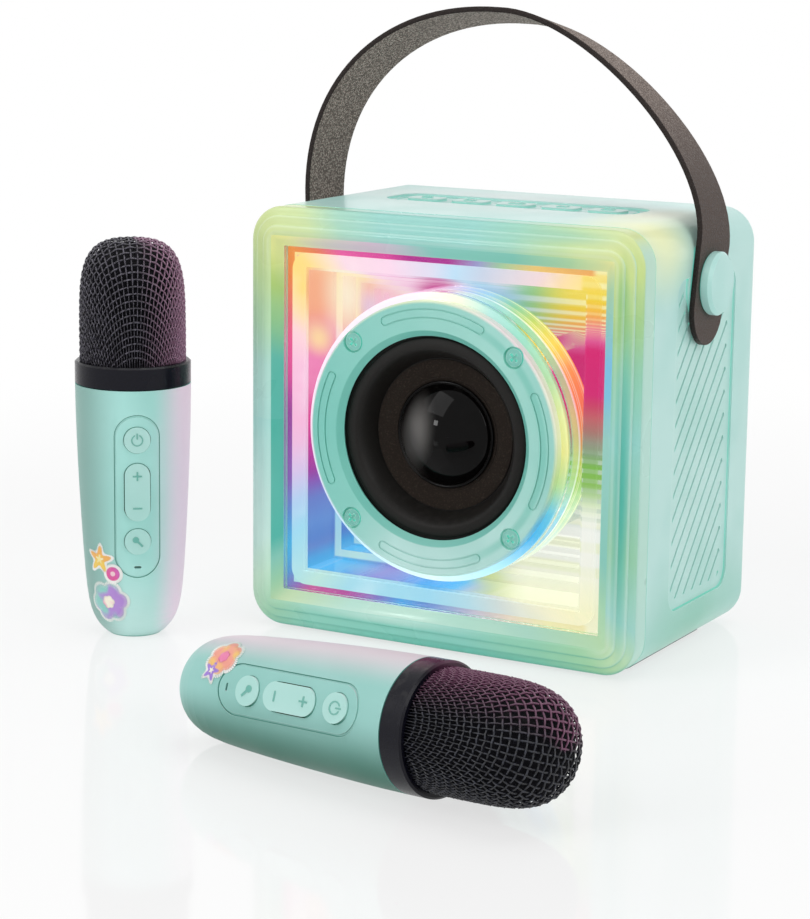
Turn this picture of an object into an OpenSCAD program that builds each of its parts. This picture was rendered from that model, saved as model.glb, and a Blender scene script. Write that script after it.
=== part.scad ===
// Portable karaoke machine: cube speaker with a light tunnel, a strap handle and two
// wireless microphones.  Millimetres, Z up, front of the speaker towards -Y.
// The origin is the centre of the speaker's base pad, on the surface it stands on.

/* [Cabinet] */
// Outside width of the cabinet
body_w = 160; // [158:1:166]
// Outside height of the cabinet, without the base pad
body_h = 159; // [158:1:166]
// Outside depth of the cabinet, front bezel to back cover
body_d = 104; // [102:1:116]
// Radius of the four long edges
corner_r = 13; // [11:0.5:14]
// Wall thickness of the shell
wall = 2.6; // [2.2:0.1:3]
// How far the base pad stands out under the shell
pad_proud = 1; // [0.6:0.1:1.5]

/* [Front] */
// Width of the bezel's border, cabinet edge to window
border_w = 14.4; // [13.8:0.1:15]
// Depth of the front bezel
bezel_d = 12; // [11:0.5:12.5]
// Half width of the glowing light frame at its outer edge
light_half = 62.7; // [62:0.1:63.5]
// Width of the glowing light frame
light_w = 5; // [4:0.1:5.5]
// Number of steps in the light tunnel
tunnel_steps = 7; // [5:1:8]
// Depth of the tunnel's first step
tunnel_first = 18; // [15:1:19]

/* [Loudspeaker] */
// Outer radius of the face ring
ring_r = 50.4; // [50.2:0.1:51]
// Inner radius of the face ring
ring_in = 37.4; // [37:0.1:38.5]
// Thickness of the face ring
ring_t = 4; // [3.5:0.1:4.5]
// Outer radius of the clear spacer behind the face ring
spacer_r = 53; // [52.8:0.1:53.4]
// Radius of the circle that the ring's screws stand on
screw_pcr = 46.3; // [46:0.1:46.6]
// Radius of the dust cap
cap_r = 19.4; // [18:0.1:20]

/* [Side grilles] */
// Width of a side grille, front to back
grille_w = 53.5; // [50:0.5:54]
// Height of a side grille
grille_h = 121; // [115:1:123]
// Width of one slanted slot
slot_w = 1.1; // [0.8:0.1:1.6]
// Height between one slot and the next
slot_pitch = 8.65; // [7.5:0.05:10]
// Rise of the slots towards the back, in degrees
slot_angle = 48; // [40:1:55]

/* [Handle] */
// Width of the strap
strap_w = 27; // [24:0.5:28]
// Thickness of the strap
strap_t = 2; // [1.6:0.1:2]
// Height of the pivots above the surface
pivot_z = 137; // [134:0.5:138]
// How far the strap leans back at rest, in degrees
strap_lean = 11; // [8:0.5:12]
// Radius of the round pivot buttons
pivot_r = 11.5; // [10:0.1:12]

/* [Top controls] */
// Length of the recessed control panel
panel_w = 104; // [100:1:106]
// Width of the recessed control panel
panel_h = 26; // [24:0.5:27]
// Distance between neighbouring top buttons
button_pitch = 19; // [18:0.5:19.5]
// Travel of a top button
button_travel = 0.8; // [0.5:0.1:0.8]

/* [Microphones] */
// Length of a microphone, tail to the top of its grille
mic_len = 148; // [146:0.5:152]
// Length of the microphone's handle shell
mic_shell = 95; // [94:0.5:96]
// Radius of the handle shell at its collar
mic_r = 21.4; // [21:0.1:21.6]
// Turn of the standing microphone about its axis, in degrees
mic_1_turn = 38.5; // [0:0.5:45]
// Heading of the lying microphone, in degrees
mic_2_yaw = -10.8; // [-20:0.1:0]
// Lift of the lying microphone's head, in degrees
mic_2_tilt = 2.9; // [2.5:0.1:3.2]

/* [Hidden] */
$fn = 48;

// Colours
mint = [0.56, 0.83, 0.78];
mint_deep = [0.44, 0.76, 0.70];
mint_pale = [0.70, 0.90, 0.86];
glow_pink = [0.93, 0.55, 0.80];
glow_violet = [0.66, 0.52, 0.86];
clear = [0.85, 0.93, 0.95, 0.35];
rubber = [0.10, 0.09, 0.09];
leatherette = [0.17, 0.14, 0.12];
steel = [0.72, 0.74, 0.76];
board_green = [0.10, 0.36, 0.20];

// Cabinet
mid_z = pad_proud + body_h / 2;
half_w = body_w / 2;
half_h = body_h / 2;
front = body_d / 2;
shell_front = front - bezel_d;
cover_t = 3;
shell_back = -front + cover_t;
in_w = body_w - 2 * wall;
in_h = body_h - 2 * wall;
in_r = corner_r - wall;
screw_x = half_w - 12;
screw_z = half_h - 12;
post_r = 4.5;
post_web = 6;
pad_w = 140;
pad_d = 76;
gap = 0.15;

// Front opening
win_w = body_w - 2 * border_w;
win_h = body_h - 2 * border_w;
win_front = front - 3;
pane_t = 1.5;
frame_t = 1.5;
flange_front = win_front - pane_t - frame_t;
flange_t = 1.5;
pocket_r = 6;
pocket_side = 6.5;
skin = 1.4;

// Light tunnel: each step is narrower and shallower than the one before
tread = function(i) 4 * pow(0.8, i);
riser = function(i) i == 0 ? tunnel_first : 8 * pow(0.7, i - 1);
step_half = function(i) i == 0 ? light_half - light_w - 1.2 : step_half(i - 1) - tread(i - 1);
step_front = function(i) i == 0 ? flange_front : step_front(i - 1) - riser(i - 1);

// Loudspeaker stack, distances forward of the cabinet's middle
ring_back = front - 1.5;
ring_front = ring_back + ring_t;
spacer_back = 30;
lip_t = 0.7;
flange_r = screw_pcr - 3.3;
lip_front = ring_back;
basket_front = lip_front - lip_t;
ring_bevel = 2.2;
cone_r = 27.8;
cone_t = 0.6;
cone_front = lip_front - 6.5;
cone_under = cone_front - cone_t;
roll_out = ring_in - 0.6;
roll_in = cone_r + 0.4;
crest_r = 33.2;
crest_rise = 1.5;
cap_base = cone_front - 1.8;
neck_r = 13.4;
neck_front = cap_base - 5;
gap_in = 12.3;
gap_out = 14;
magnet_r = 25;
magnet_front = 24;
magnet_back = 9;

// Side grille, placed by the middle of its opening
grille_y = 6.2;
grille_mid_z = 79.5;
grille_sink = 1;
boss_r = 15;
pivot_y = 4;

// Top controls
top_z = pad_proud + body_h;
panel_y = 10;
panel_sink = 0.8;
panel_r = 9;
key_w = 14;
key_h = 9;
key_r = 2.5;

// Ports on the back cover, seated on the main board
board_t = 1.6;
board_z = 20;
port_x = [-18, 0, 18];
port_base = board_z + board_t;
charge_h = 3.3;
jack_r = 1.8;
jack_z = port_base + 3.2;

// ---- Shared shapes ----

// Rounded rectangle about the origin
module rrect(w, h, r) {
    square([w - 2 * r, h], center = true);
    square([w, h - 2 * r], center = true);
    for (sx = [-1, 1], sy = [-1, 1]) translate([sx * (w / 2 - r), sy * (h / 2 - r)]) circle(r);
}

// Stands a drawing of the front view up: X right, Y up, Z forward from the cabinet's middle
module facing_front() translate([0, 0, mid_z]) rotate([90, 0, 0]) children();

// Extrusion between two distances forward
module layer(from, to) translate([0, 0, from]) linear_extrude(to - from) children();

// Solid rounded block whose edge follows a profile of [distance from the corner's centre, forward]
module edge_block(w, h, r, profile, from, to) {
    for (k = [0:3]) rotate([0, 0, 90 * k]) {
        a = k % 2 == 0 ? w : h;
        b = k % 2 == 0 ? h : w;
        translate([a / 2 - r, b / 2 - r, 0]) rotate_extrude(angle = 90) polygon(profile);
        translate([a / 2 - r, b / 2 - r, 0]) rotate([90, 0, 0]) linear_extrude(b - 2 * r) polygon(profile);
    }
    translate([r - w / 2, r - h / 2, from]) cube([w - 2 * r, h - 2 * r, to - from]);
}

// Square ring of constant width
module square_ring(outer_half, inner_half) difference() {
    square(2 * outer_half, center = true);
    square(2 * inner_half, center = true);
}

// Band along an arc about the +X direction, with round ends
module arc_slot(r_mid, w, spread) {
    steps = 16;
    a = [for (i = [0:steps]) spread * (2 * i / steps - 1)];
    polygon(concat(
        [for (t = a) (r_mid + w / 2) * [cos(t), sin(t)]],
        [for (i = [steps:-1:0]) (r_mid - w / 2) * [cos(a[i]), sin(a[i])]]));
    for (s = [-1, 1]) rotate(s * spread) translate([r_mid, 0]) circle(w / 2);
}

// Cross recess of a screw, cut downwards from the origin
module cross_recess(size, depth) for (a = [0, 90])
    rotate([0, 0, a]) translate([0, 0, -depth / 2]) cube([size, size / 3.5, depth], center = true);

// ---- Cabinet ----

module shell_section() difference() {
    rrect(body_w, body_h, corner_r);
    rrect(in_w, in_h, in_r);
}

// Outline of a side grille: rounded rectangle with a bite for the handle's boss; X back, Y up
module grille_outline(grow) difference() {
    translate([grille_y, grille_mid_z]) rrect(grille_w + 2 * grow, grille_h + 2 * grow, 7 + grow);
    translate([pivot_y, pivot_z]) circle(boss_r - grow);
}

// Puts a drawing of the side view on a side wall: X back, Y up, Z outward on the right
module on_side(side) mirror([side < 0 ? 1 : 0, 0, 0]) rotate([90, 0, 90]) children();

module main_shell() color(mint) difference() {
    union() {
        facing_front() layer(shell_back, shell_front) shell_section();
        facing_front() for (sx = [-1, 1], sy = [-1, 1])
            translate([sx * screw_x, sy * screw_z, 0]) {
                layer(shell_back, shell_back + 22) circle(post_r);
                layer(shell_back, shell_back + 22)
                    translate([sx > 0 ? 0 : -10.5, -post_web / 2]) square([10.5, post_web]);
            }
        for (x = [-45, 45], y = [22, 42])
            translate([x, y, pad_proud + wall / 2]) cylinder(h = board_z - pad_proud - wall / 2, r = 3);
    }
    facing_front() for (sx = [-1, 1], sy = [-1, 1])
        translate([sx * screw_x, sy * screw_z, shell_back - 1]) cylinder(h = 15, r = 1.3);
    for (side = [-1, 1]) {
        on_side(side) layer(half_w - wall - 1, half_w + 1) grille_outline(gap);
        on_side(side) translate([pivot_y, pivot_z, half_w - wall - 1]) cylinder(h = wall + 2, r = 4);
    }
    translate([0, panel_y, top_z - wall - 1]) linear_extrude(wall + 2)
        rrect(panel_w + 2 * gap, panel_h + 2 * gap, panel_r + gap);
    translate([0, 0, -1]) linear_extrude(2 * pad_proud + 1) rrect(pad_w + 0.2, pad_d + 0.2, 8.1);
}

// Front moulding as [distance in from the cabinet's edge, forward]: two steps up to the crest
moulding = [
    [0, front - 4.6], [0.4, front - 3.7], [1.2, front - 3.1], [3.1, front - 2.6],
    [3.3, front - 1.9], [3.9, front - 1.5], [6.6, front - 1.1], [6.8, front - 0.5],
    [7.5, front - 0.1], [8.6, front],
];
inner_slope = [[9.4, front], [11, front - 0.5], [border_w, win_front]];

module front_bezel() color(mint_pale) facing_front() {
    difference() {
        intersection() {
            edge_block(body_w, body_h, corner_r,
                concat([[0, shell_front], [corner_r, shell_front]],
                    [for (p = moulding) [corner_r - p[0], p[1]]], [[0, front]]),
                shell_front, front);
            union() for (k = [0:3]) rotate([0, 0, 90 * k]) {
                a = k % 2 == 0 ? body_w : body_h;
                b = k % 2 == 0 ? body_h : body_w;
                translate([a / 2, b / 2, 0]) rotate([90, 0, 0]) linear_extrude(b)
                    polygon(concat([[0, shell_front], [0, front]],
                        [for (p = inner_slope) [-p[0], p[1]]], [[-border_w, shell_front]]));
            }
        }
        layer(shell_front - 1, flange_front)
            rrect(body_w - 2 * pocket_side, body_h - 2 * pocket_side, pocket_r);
    }
    layer(shell_front - 4, shell_front) difference() {
        rrect(in_w - 2 * gap, in_h - 2 * gap, in_r - gap);
        rrect(in_w - 5, in_h - 5, in_r - 2.5);
    }
}

cover_edge = [for (i = [0:6]) [corner_r - cover_t * (1 - sin(15 * i)), -front + cover_t * (1 - cos(15 * i))]];

module back_cover() color(mint) difference() {
    union() {
        facing_front() edge_block(body_w, body_h, corner_r,
            concat([[0, -front]], cover_edge, [[0, shell_back]]), -front, shell_back);
        facing_front() layer(shell_back, shell_back + 4) difference() {
            rrect(in_w - 2 * gap, in_h - 2 * gap, in_r - gap);
            rrect(in_w - 5, in_h - 5, in_r - 2.5);
            for (sx = [-1, 1], sy = [-1, 1]) translate([sx * (screw_x + 5), sy * (screw_z + 5)])
                square(21, center = true);
        }
    }
    facing_front() for (sx = [-1, 1], sy = [-1, 1]) translate([sx * screw_x, sy * screw_z, -front - 1]) {
        cylinder(h = 2.6, r = 3.2);
        cylinder(h = cover_t + 2, r = 1.7);
    }
    translate([port_x[0], front + 1, port_base + charge_h / 2]) rotate([90, 0, 0]) linear_extrude(5)
        rrect(9.8, 4.1, 2);
    translate([port_x[1], front + 1, jack_z]) rotate([90, 0, 0]) cylinder(h = 5, r = 3.15);
    translate([port_x[2], front + 1, port_base + 1]) rotate([90, 0, 0]) linear_extrude(5)
        rrect(12.8, 2.4, 0.8);
}

// Pan head screw along +Z with its head's top at the origin
module small_screw(head_r, shank_r, length) difference() {
    union() {
        translate([0, 0, -1.4]) cylinder(h = 1.4, r = head_r);
        translate([0, 0, -length]) cylinder(h = length - 1.4, r = shank_r);
    }
    cross_recess(head_r * 1.15, 0.9);
}

module back_cover_screws() color(steel) facing_front()
    for (sx = [-1, 1], sy = [-1, 1]) translate([sx * screw_x, sy * screw_z, 1.6 - front])
        rotate([180, 0, 0]) translate([0, 0, 1.4]) small_screw(2.9, 1.25, 12);

module base_pad() color(rubber) difference() {
    linear_extrude(2 * pad_proud) rrect(pad_w, pad_d, 8);
    for (x = [-37.5:25:37.5]) translate([x, 0, -1]) linear_extrude(1.4) rrect(2, pad_d - 16, 0.9);
}

// Slanted slots, each running up towards the back
module slot_rows() intersection() {
    difference() {
        translate([grille_y, grille_mid_z]) rrect(grille_w - 7.5, grille_h - 8, 4);
        translate([pivot_y, pivot_z]) circle(boss_r + 2.5);
    }
    for (k = [0:18]) translate([grille_y + grille_w / 2 - 5.4, 24.2 + slot_pitch * k]) {
        rotate(slot_angle) translate([-80, -slot_w / 2]) square([80, slot_w]);
        circle(slot_w * 0.8);
    }
}

module side_grille(side) color(mint) on_side(side) difference() {
    union() {
        layer(half_w - wall, half_w - grille_sink) grille_outline(0);
        layer(half_w - wall - 1.2, half_w - wall) grille_outline(2.5);
    }
    layer(half_w - wall - 2, half_w) slot_rows();
}

module side_grille_left() side_grille(-1);
module side_grille_right() side_grille(1);

// ---- Window and light tunnel ----

module window_panel() color(clear) facing_front() layer(win_front - pane_t, win_front) difference() {
    square([win_w - 0.2, win_h - 0.2], center = true);
    circle(spacer_r + 0.25);
}

module light_frame() color(glow_pink) facing_front() layer(flange_front, flange_front + frame_t)
    difference() {
        rrect(2 * light_half, 2 * light_half, 6);
        square(2 * (light_half - light_w), center = true);
    }

// Loop of light-emitting diodes round the tunnel's first wall, shining through it
module led_strip() color("white") facing_front() {
    inner = step_half(0) + skin;
    layer(34, 42) square_ring(inner + 0.5, inner);
    for (k = [0:3]) rotate([0, 0, 90 * k]) for (v = [-48:16:48])
        translate([inner + 0.5, v - 1.75, 36]) cube([1.2, 3.5, 3.5]);
}

module light_tunnel() color(glow_violet) facing_front() {
    layer(flange_front - flange_t, flange_front)
        difference() {
            rrect(body_w - 2 * pocket_side - 0.4, body_h - 2 * pocket_side - 0.4, pocket_r - 0.2);
            square(2 * step_half(0), center = true);
        }
    for (i = [0:tunnel_steps - 1]) {
        rear = step_front(i + 1);
        outer = step_half(i) + skin;
        layer(rear - skin, step_front(i) - (i == 0 ? flange_t : skin)) square_ring(outer, step_half(i));
        if (i < tunnel_steps - 1) layer(rear - skin, rear) square_ring(outer, step_half(i + 1));
    }
}

module rear_mirror() color(mint_pale) facing_front()
    layer(step_front(tunnel_steps) - skin - 1.6, step_front(tunnel_steps) - skin)
        square(2 * (step_half(tunnel_steps - 1) + skin), center = true);

// ---- Loudspeaker ----

module at_ring_screws() for (a = [45:90:315]) rotate([0, 0, a]) translate([screw_pcr, 0, 0]) children();

module clear_spacer_ring() color(clear) facing_front() translate([0, 0, spacer_back]) difference() {
    cylinder(h = ring_back - spacer_back, r = spacer_r);
    translate([0, 0, -1]) cylinder(h = ring_back - spacer_back + 2, r = spacer_r - 2.6);
}

module ring_standoffs() color(clear) facing_front() {
    from = step_front(tunnel_steps) - skin;
    at_ring_screws() difference() {
        translate([0, 0, from]) cylinder(h = ring_back - from, r = 3);
        translate([0, 0, ring_back - 9]) cylinder(h = 10, r = 1.3);
    }
}

ring_profile = [
    [ring_in + 0.8, ring_back], [ring_r, ring_back], [ring_r, ring_front - 0.8],
    [ring_r - 0.8, ring_front], [ring_in + ring_bevel, ring_front],
    [ring_in, ring_front - ring_bevel],
];

module face_ring() color(mint) facing_front() difference() {
    rotate_extrude($fn = 96) polygon(ring_profile);
    at_ring_screws() {
        translate([0, 0, ring_front - 1.8]) cylinder(h = 3, r = 4);
        translate([0, 0, ring_back - 1]) cylinder(h = ring_t + 2, r = 1.7);
    }
    for (a = [0:90:270]) rotate([0, 0, a]) layer(ring_front - 0.45, ring_front + 1) difference() {
        arc_slot(45.8, 3.6, 25);
        arc_slot(45.8, 2.5, 25);
    }
}

module face_ring_screws() color(steel) facing_front() at_ring_screws()
    translate([0, 0, ring_front - 0.4]) small_screw(3.2, 1.25, 10);

module driver_basket() color(rubber) facing_front() difference() {
    rotate_extrude() polygon([
        [roll_out, basket_front], [flange_r, basket_front], [flange_r, basket_front - 1.5],
        [38.6, basket_front - 1.5], [29, magnet_front + 8], [29, magnet_front],
        [gap_out + 1, magnet_front], [gap_out + 1, magnet_front + 1.5], [27.5, magnet_front + 1.5],
        [27.5, magnet_front + 8.4],
    ]);
    for (a = [0:60:300]) rotate([0, 0, a]) translate([35, 0, 39]) cube([14, 16, 9], center = true);
}

module driver_magnet() color(steel) facing_front() rotate_extrude() polygon([
    [0, magnet_back - 2.5], [magnet_r, magnet_back - 2.5], [magnet_r, magnet_front],
    [gap_out, magnet_front], [gap_out, magnet_back], [gap_in, magnet_back],
    [gap_in, magnet_front], [0, magnet_front],
]);

// Roll of rubber from a lip on the basket, over its crest, to a lip under the cone's rim
module cone_surround() color(rubber) facing_front() rotate_extrude() {
    steps = 8;
    fall = lip_front + crest_rise - cone_under;
    turn = 90 / steps;
    outer = function(i, r, z) [crest_r + (r - crest_r) * cos(turn * i), z + crest_rise * sin(turn * i)];
    inner = function(i, r, z) [r + (crest_r - r) * i / steps, z + fall * sin(turn * i)];
    polygon(concat(
        [[flange_r, basket_front], [flange_r, lip_front]],
        [for (i = [0:steps]) outer(i, roll_out, lip_front)],
        [for (i = [steps - 1:-1:0]) inner(i, roll_in, cone_under)],
        [[cone_r - 1.8, cone_under], [cone_r - 1.8, cone_under - lip_t]],
        [for (i = [0:steps]) inner(i, roll_in + 0.6, cone_under - lip_t)],
        [for (i = [steps - 1:-1:0]) outer(i, roll_out - 0.6, basket_front)]));
}

module speaker_cone() color(rubber) facing_front() rotate_extrude() polygon([
    [cone_r, cone_under], [cone_r, cone_front], [cone_r - 2.4, cone_front],
    [cap_r + 0.6, cap_base], [cap_r - 1, cap_base], [neck_r, neck_front + 0.5], [neck_r, neck_front - 0.5],
    [neck_r + 0.8, neck_front - 0.5], [cap_r + 0.6, cap_base - 1], [cone_r - 2.2, cone_under - 0.2],
    [cone_r - 2, cone_under],
]);

module dust_cap() color(rubber) facing_front() rotate_extrude() {
    rise = 8.6;
    dome = (cap_r * cap_r + rise * rise) / (2 * rise);
    reach = asin(cap_r / dome);
    steps = 12;
    a = [for (i = [0:steps]) reach * (1 - i / steps)];
    shell = function(t, r, top) [r * sin(t), top - r * (1 - cos(t))];
    polygon(concat(
        [[cap_r - 0.8, cap_base], [cap_r + 0.4, cap_base], [cap_r + 0.4, cap_base + 1.4]],
        [for (t = a) shell(t, dome, cap_base + 0.8 + rise)],
        [for (i = [steps:-1:0]) shell(a[i], dome - 0.8, cap_base + rise)]));
}

module voice_coil() color([0.72, 0.43, 0.20]) facing_front() translate([0, 0, magnet_front - 8])
    difference() {
        cylinder(h = neck_front + 0.5 - magnet_front + 8, r = neck_r);
        translate([0, 0, -1]) cylinder(h = 40, r = gap_in + 0.4);
    }

// Corrugated disc that centres the coil
module spider() color([0.80, 0.62, 0.30]) facing_front() rotate_extrude() {
    r0 = neck_r;
    r1 = 27.5;
    z = magnet_front + 6;
    steps = 36;
    wave = function(r) 0.9 * sin((r - r0) * 360 / 3.5);
    r = [for (i = [0:steps]) r0 + (r1 - r0) * i / steps];
    polygon(concat([for (p = r) [p, z + wave(p)]],
        [for (i = [steps:-1:0]) [r[i], z - 0.5 + wave(r[i])]]));
}

// ---- Top controls and electronics ----

module at_keys() for (k = [-2:2]) translate([button_pitch * k, panel_y, 0]) children();

module control_panel() color(mint_pale) difference() {
    union() {
        translate([0, panel_y, top_z - wall - 1.4]) linear_extrude(1.4) rrect(panel_w + 5, panel_h + 5, panel_r);
        translate([0, panel_y, top_z - wall]) linear_extrude(wall - panel_sink) rrect(panel_w, panel_h, panel_r);
    }
    translate([0, panel_y, top_z - panel_sink - 0.35]) linear_extrude(1) difference() {
        rrect(panel_w - 7, panel_h - 7, panel_r - 3.5);
        rrect(panel_w - 8.4, panel_h - 8.4, panel_r - 4.2);
    }
    at_keys() translate([0, 0, top_z - 6]) linear_extrude(8) rrect(key_w + 0.4, key_h + 0.4, key_r + 0.2);
}

// Raised signs on the keys: a power ring, two skips, a play mark and a mode square
module arrow(dir) polygon(dir * [[-1.4, -1.8], [1.4, 0], [-1.4, 1.8]]);
module key_sign(k) {
    if (k == -2) { difference() { circle(2.3); circle(1.8); } translate([-0.25, 0.4]) square([0.5, 2.4]); }
    if (k == -1) { arrow(-1); translate([-2.4, -1.8]) square([0.6, 3.6]); }
    if (k == 0) { translate([-1, 0]) arrow(1); for (x = [1.3, 2.5]) translate([x, -1.8]) square([0.6, 3.6]); }
    if (k == 1) { arrow(1); translate([1.8, -1.8]) square([0.6, 3.6]); }
    if (k == 2) difference() { rrect(5, 3.8, 0.6); rrect(3.8, 2.6, 0.3); }
}

module top_key(k) color(mint_deep) translate([button_pitch * k, panel_y, 0]) {
    translate([0, 0, top_z - wall - 1.4]) linear_extrude(wall + 1.4) rrect(key_w, key_h, key_r);
    translate([0, 0, top_z - wall - 2.8]) linear_extrude(1.4) rrect(key_w + 2.4, key_h + 2.4, key_r);
    translate([0, 0, top_z]) linear_extrude(0.3) key_sign(k);
    translate([0, 0, top_z - wall - 4]) cylinder(h = 1.4, r = 1.5);
}

module power_button() top_key(-2);
module previous_button() top_key(-1);
module play_button() top_key(0);
module next_button() top_key(1);
module mode_button() top_key(2);

module button_board() color(board_green) {
    z = top_z - wall - 4 - button_travel - 0.3;
    translate([0, panel_y, z - 3.4]) linear_extrude(board_t) rrect(96, 22, 2);
    at_keys() translate([0, 0, z - 3.4]) linear_extrude(3.4) circle(1.6);
    at_keys() translate([-3, -3, z - 3.4]) cube([6, 6, 2.9]);
    for (x = [-1.5, 1.5] * button_pitch, y = [-8.8, 8.8])
        translate([x, panel_y + y, z - 3.4 + board_t / 2])
            cylinder(h = top_z - wall - 1.4 - z + 3.4 - board_t / 2, r = 1.8);
}

module main_board() color(board_green) {
    translate([-52, 15, board_z]) cube([104, 33.8, board_t]);
    translate([-38, 20, port_base - 0.1]) cube([9, 9, 1.4]);
    translate([-8, 18, port_base - 0.1]) cube([14, 14, 1.6]);
    translate([20, 20, port_base - 0.1]) cube([11, 8, 5]);
    for (x = [-20, 36, 44]) translate([x, 36, port_base - 0.1]) cylinder(h = 8, r = 3);
}

module battery_pack() color([0.20, 0.45, 0.75]) translate([0, front - cover_t, 108]) rotate([90, 0, 0]) {
    for (s = [-1, 1]) translate([-33, 9.3 * s, 9.3]) rotate([0, 90, 0]) cylinder(h = 66, r = 9.3);
    translate([-33, -9.3, 0]) cube([66, 18.6, 18.6]);
}

module charge_socket() color(steel) translate([port_x[0], front - 0.6, port_base + charge_h / 2])
    rotate([90, 0, 0]) difference() {
        linear_extrude(7.6) rrect(9.2, charge_h, 1.5);
        translate([0, 0, -1]) linear_extrude(7) difference() {
            rrect(8.5, 2.6, 1.25);
            square([6.6, 0.8], center = true);
        }
    }

module aux_socket() color(rubber) translate([port_x[1], front - 0.4, jack_z]) rotate([90, 0, 0]) difference() {
    union() {
        cylinder(h = 5, r = 3);
        translate([-4, -3.2, 3.2]) cube([8, 6.4, 12]);
    }
    translate([0, 0, -1]) cylinder(h = 15, r = jack_r);
}

module card_socket() color(steel) translate([port_x[2], front - 1, port_base + 1]) rotate([90, 0, 0])
    difference() {
        translate([-6.1, -1, 0]) cube([12.2, 2, 14]);
        translate([-5.6, -0.5, -1]) cube([11.2, 1, 13]);
    }

// ---- Handle ----

// Point on a cubic curve
bezier = function(p, t)
    pow(1 - t, 3) * p[0] + 3 * t * pow(1 - t, 2) * p[1] + 3 * t * t * (1 - t) * p[2] + pow(t, 3) * p[3];

// Middle line of the strap as [across, up from the pivots]
strap_mid = half_w + 0.3 + strap_t / 2;
strap_top = 93.7;
left_curve = [[-strap_mid, 14], [-92, 64], [-58, 96], [-8, strap_top]];
right_curve = [[-8, strap_top], [26, strap_top], [84, 45], [strap_mid, 12]];
curve_steps = 16;
strap_line = concat(
    [[-strap_mid, -9]],
    [for (i = [0:curve_steps]) bezier(left_curve, i / curve_steps)],
    [for (i = [1:curve_steps]) bezier(right_curve, i / curve_steps)],
    [[strap_mid, -9]]);
unit = function(v) v / norm(v);
strap_dir = function(i) i == 0 ? [0, 1] : i == len(strap_line) - 1 ? [0, -1]
    : unit(unit(strap_line[i] - strap_line[i - 1]) + unit(strap_line[i + 1] - strap_line[i]));
strap_edge = function(i, side) strap_line[i] + side * strap_t / 2 * [-strap_dir(i)[1], strap_dir(i)[0]];

module handle_strap() color(leatherette) translate([0, pivot_y, pivot_z]) rotate([-strap_lean, 0, 0])
    difference() {
        union() {
            translate([0, strap_w / 2, 0]) rotate([90, 0, 0]) linear_extrude(strap_w) polygon(concat(
                [for (i = [0:len(strap_line) - 1]) strap_edge(i, 1)],
                [for (i = [len(strap_line) - 1:-1:0]) strap_edge(i, -1)]));
            for (s = [-1, 1]) translate([s * strap_mid, 0, -9]) rotate([0, 90, 0])
                cylinder(h = strap_t, r = strap_w / 2, center = true, $fn = 64);
        }
        translate([-half_w - 10, 0, 0]) rotate([0, 90, 0]) cylinder(h = body_w + 20, r = 4.05);
    }

module pivot_button(side) color(mint_deep) on_side(side) translate([pivot_y, pivot_z, 0]) rotate_extrude() {
    seat = half_w + strap_t + 0.6;
    polygon([
        [0, half_w - wall - 2], [6, half_w - wall - 2], [6, half_w - wall], [4, half_w - wall],
        [4, seat], [pivot_r - 0.4, seat], [pivot_r, seat + 0.5], [pivot_r, seat + 3],
        [pivot_r - 1.2, seat + 4.2], [0, seat + 4.4],
    ]);
}

module pivot_button_left() pivot_button(-1);
module pivot_button_right() pivot_button(1);

// ---- Microphones ----
// A microphone is drawn standing on its tail, its control face towards -Y.

mic_body_r = function(s) mic_r - 4.6 * pow(1 - s / mic_shell, 1.6) - 7 * exp(-s / 5.2);
mic_stations = concat([0, 1, 2, 3.5, 5, 7, 9.5, 13, 18], [for (s = [25:10:85]) s], [mic_shell]);
collar_len = 8.5;
collar_r = mic_r;
grille_from = mic_shell + collar_len;
grille_r = 19.1;
grille_line = function(t) grille_r * pow(1 - pow(t, 5.3), 0.31);
plate_w = 16.2;
plate_from = 25;
plate_to = 86;
plate_t = 1.1;
plate_edge = 0.5;
glue = 0.04;
power_s = 77;
rocker_s = 57.5;
effect_s = 38.75;
led_s = 28.75;
small_key_r = 4.8;
rocker_w = 9.2;
rocker_l = 21.5;
rocker_deep = 3;

// Solid of the handle's outline, grown or shrunk
module mic_outline(grow) rotate_extrude($fn = 64) polygon(concat([[0, 0]],
    [for (s = mic_stations) [mic_body_r(s) + grow, s]], [[0, mic_shell]]));

// Extrudes a drawing on the control face inwards: X right, Y along the axis
module on_control_face(from, to) rotate([90, 0, 0]) layer(from, to) children();

module stadium(w, l) {
    square([w, l - w], center = true);
    for (s = [-1, 1]) translate([0, s * (l - w) / 2]) circle(w / 2);
}

module plate_outline(grow) translate([0, (plate_from + plate_to) / 2])
    stadium(plate_w + 2 * grow, plate_to - plate_from + 2 * grow);

module key_openings() {
    for (s = [power_s, effect_s]) translate([0, s]) circle(small_key_r + 0.25);
    translate([0, rocker_s]) stadium(rocker_w + 0.6, rocker_l + 0.6);
    translate([0, led_s]) rotate(90) stadium(0.9, 2.6);
}

module mic_shell_piece() color(mint) difference() {
    mic_outline(0);
    rotate_extrude() polygon(concat([[0, 3]],
        [for (s = mic_stations) if (s >= 3.5) [mic_body_r(s) - 2.3, s]],
        [[mic_r - 2.3, mic_shell + 1], [0, mic_shell + 1]]));
    intersection() {
        difference() {
            mic_outline(2);
            mic_outline(-plate_t);
        }
        on_control_face(0, 40) plate_outline(0.3);
    }
    on_control_face(0, 40) key_openings();
}

// Plate that is let into the handle, with its edge lowered all round
module mic_plate_piece() color(mint) difference() {
    intersection() {
        difference() {
            mic_outline(0);
            mic_outline(glue - plate_t);
        }
        on_control_face(0, 40) plate_outline(0);
    }
    difference() {
        mic_outline(1);
        mic_outline(-0.35);
        on_control_face(0, 40) plate_outline(-plate_edge);
    }
    on_control_face(0, 40) key_openings();
}

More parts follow.
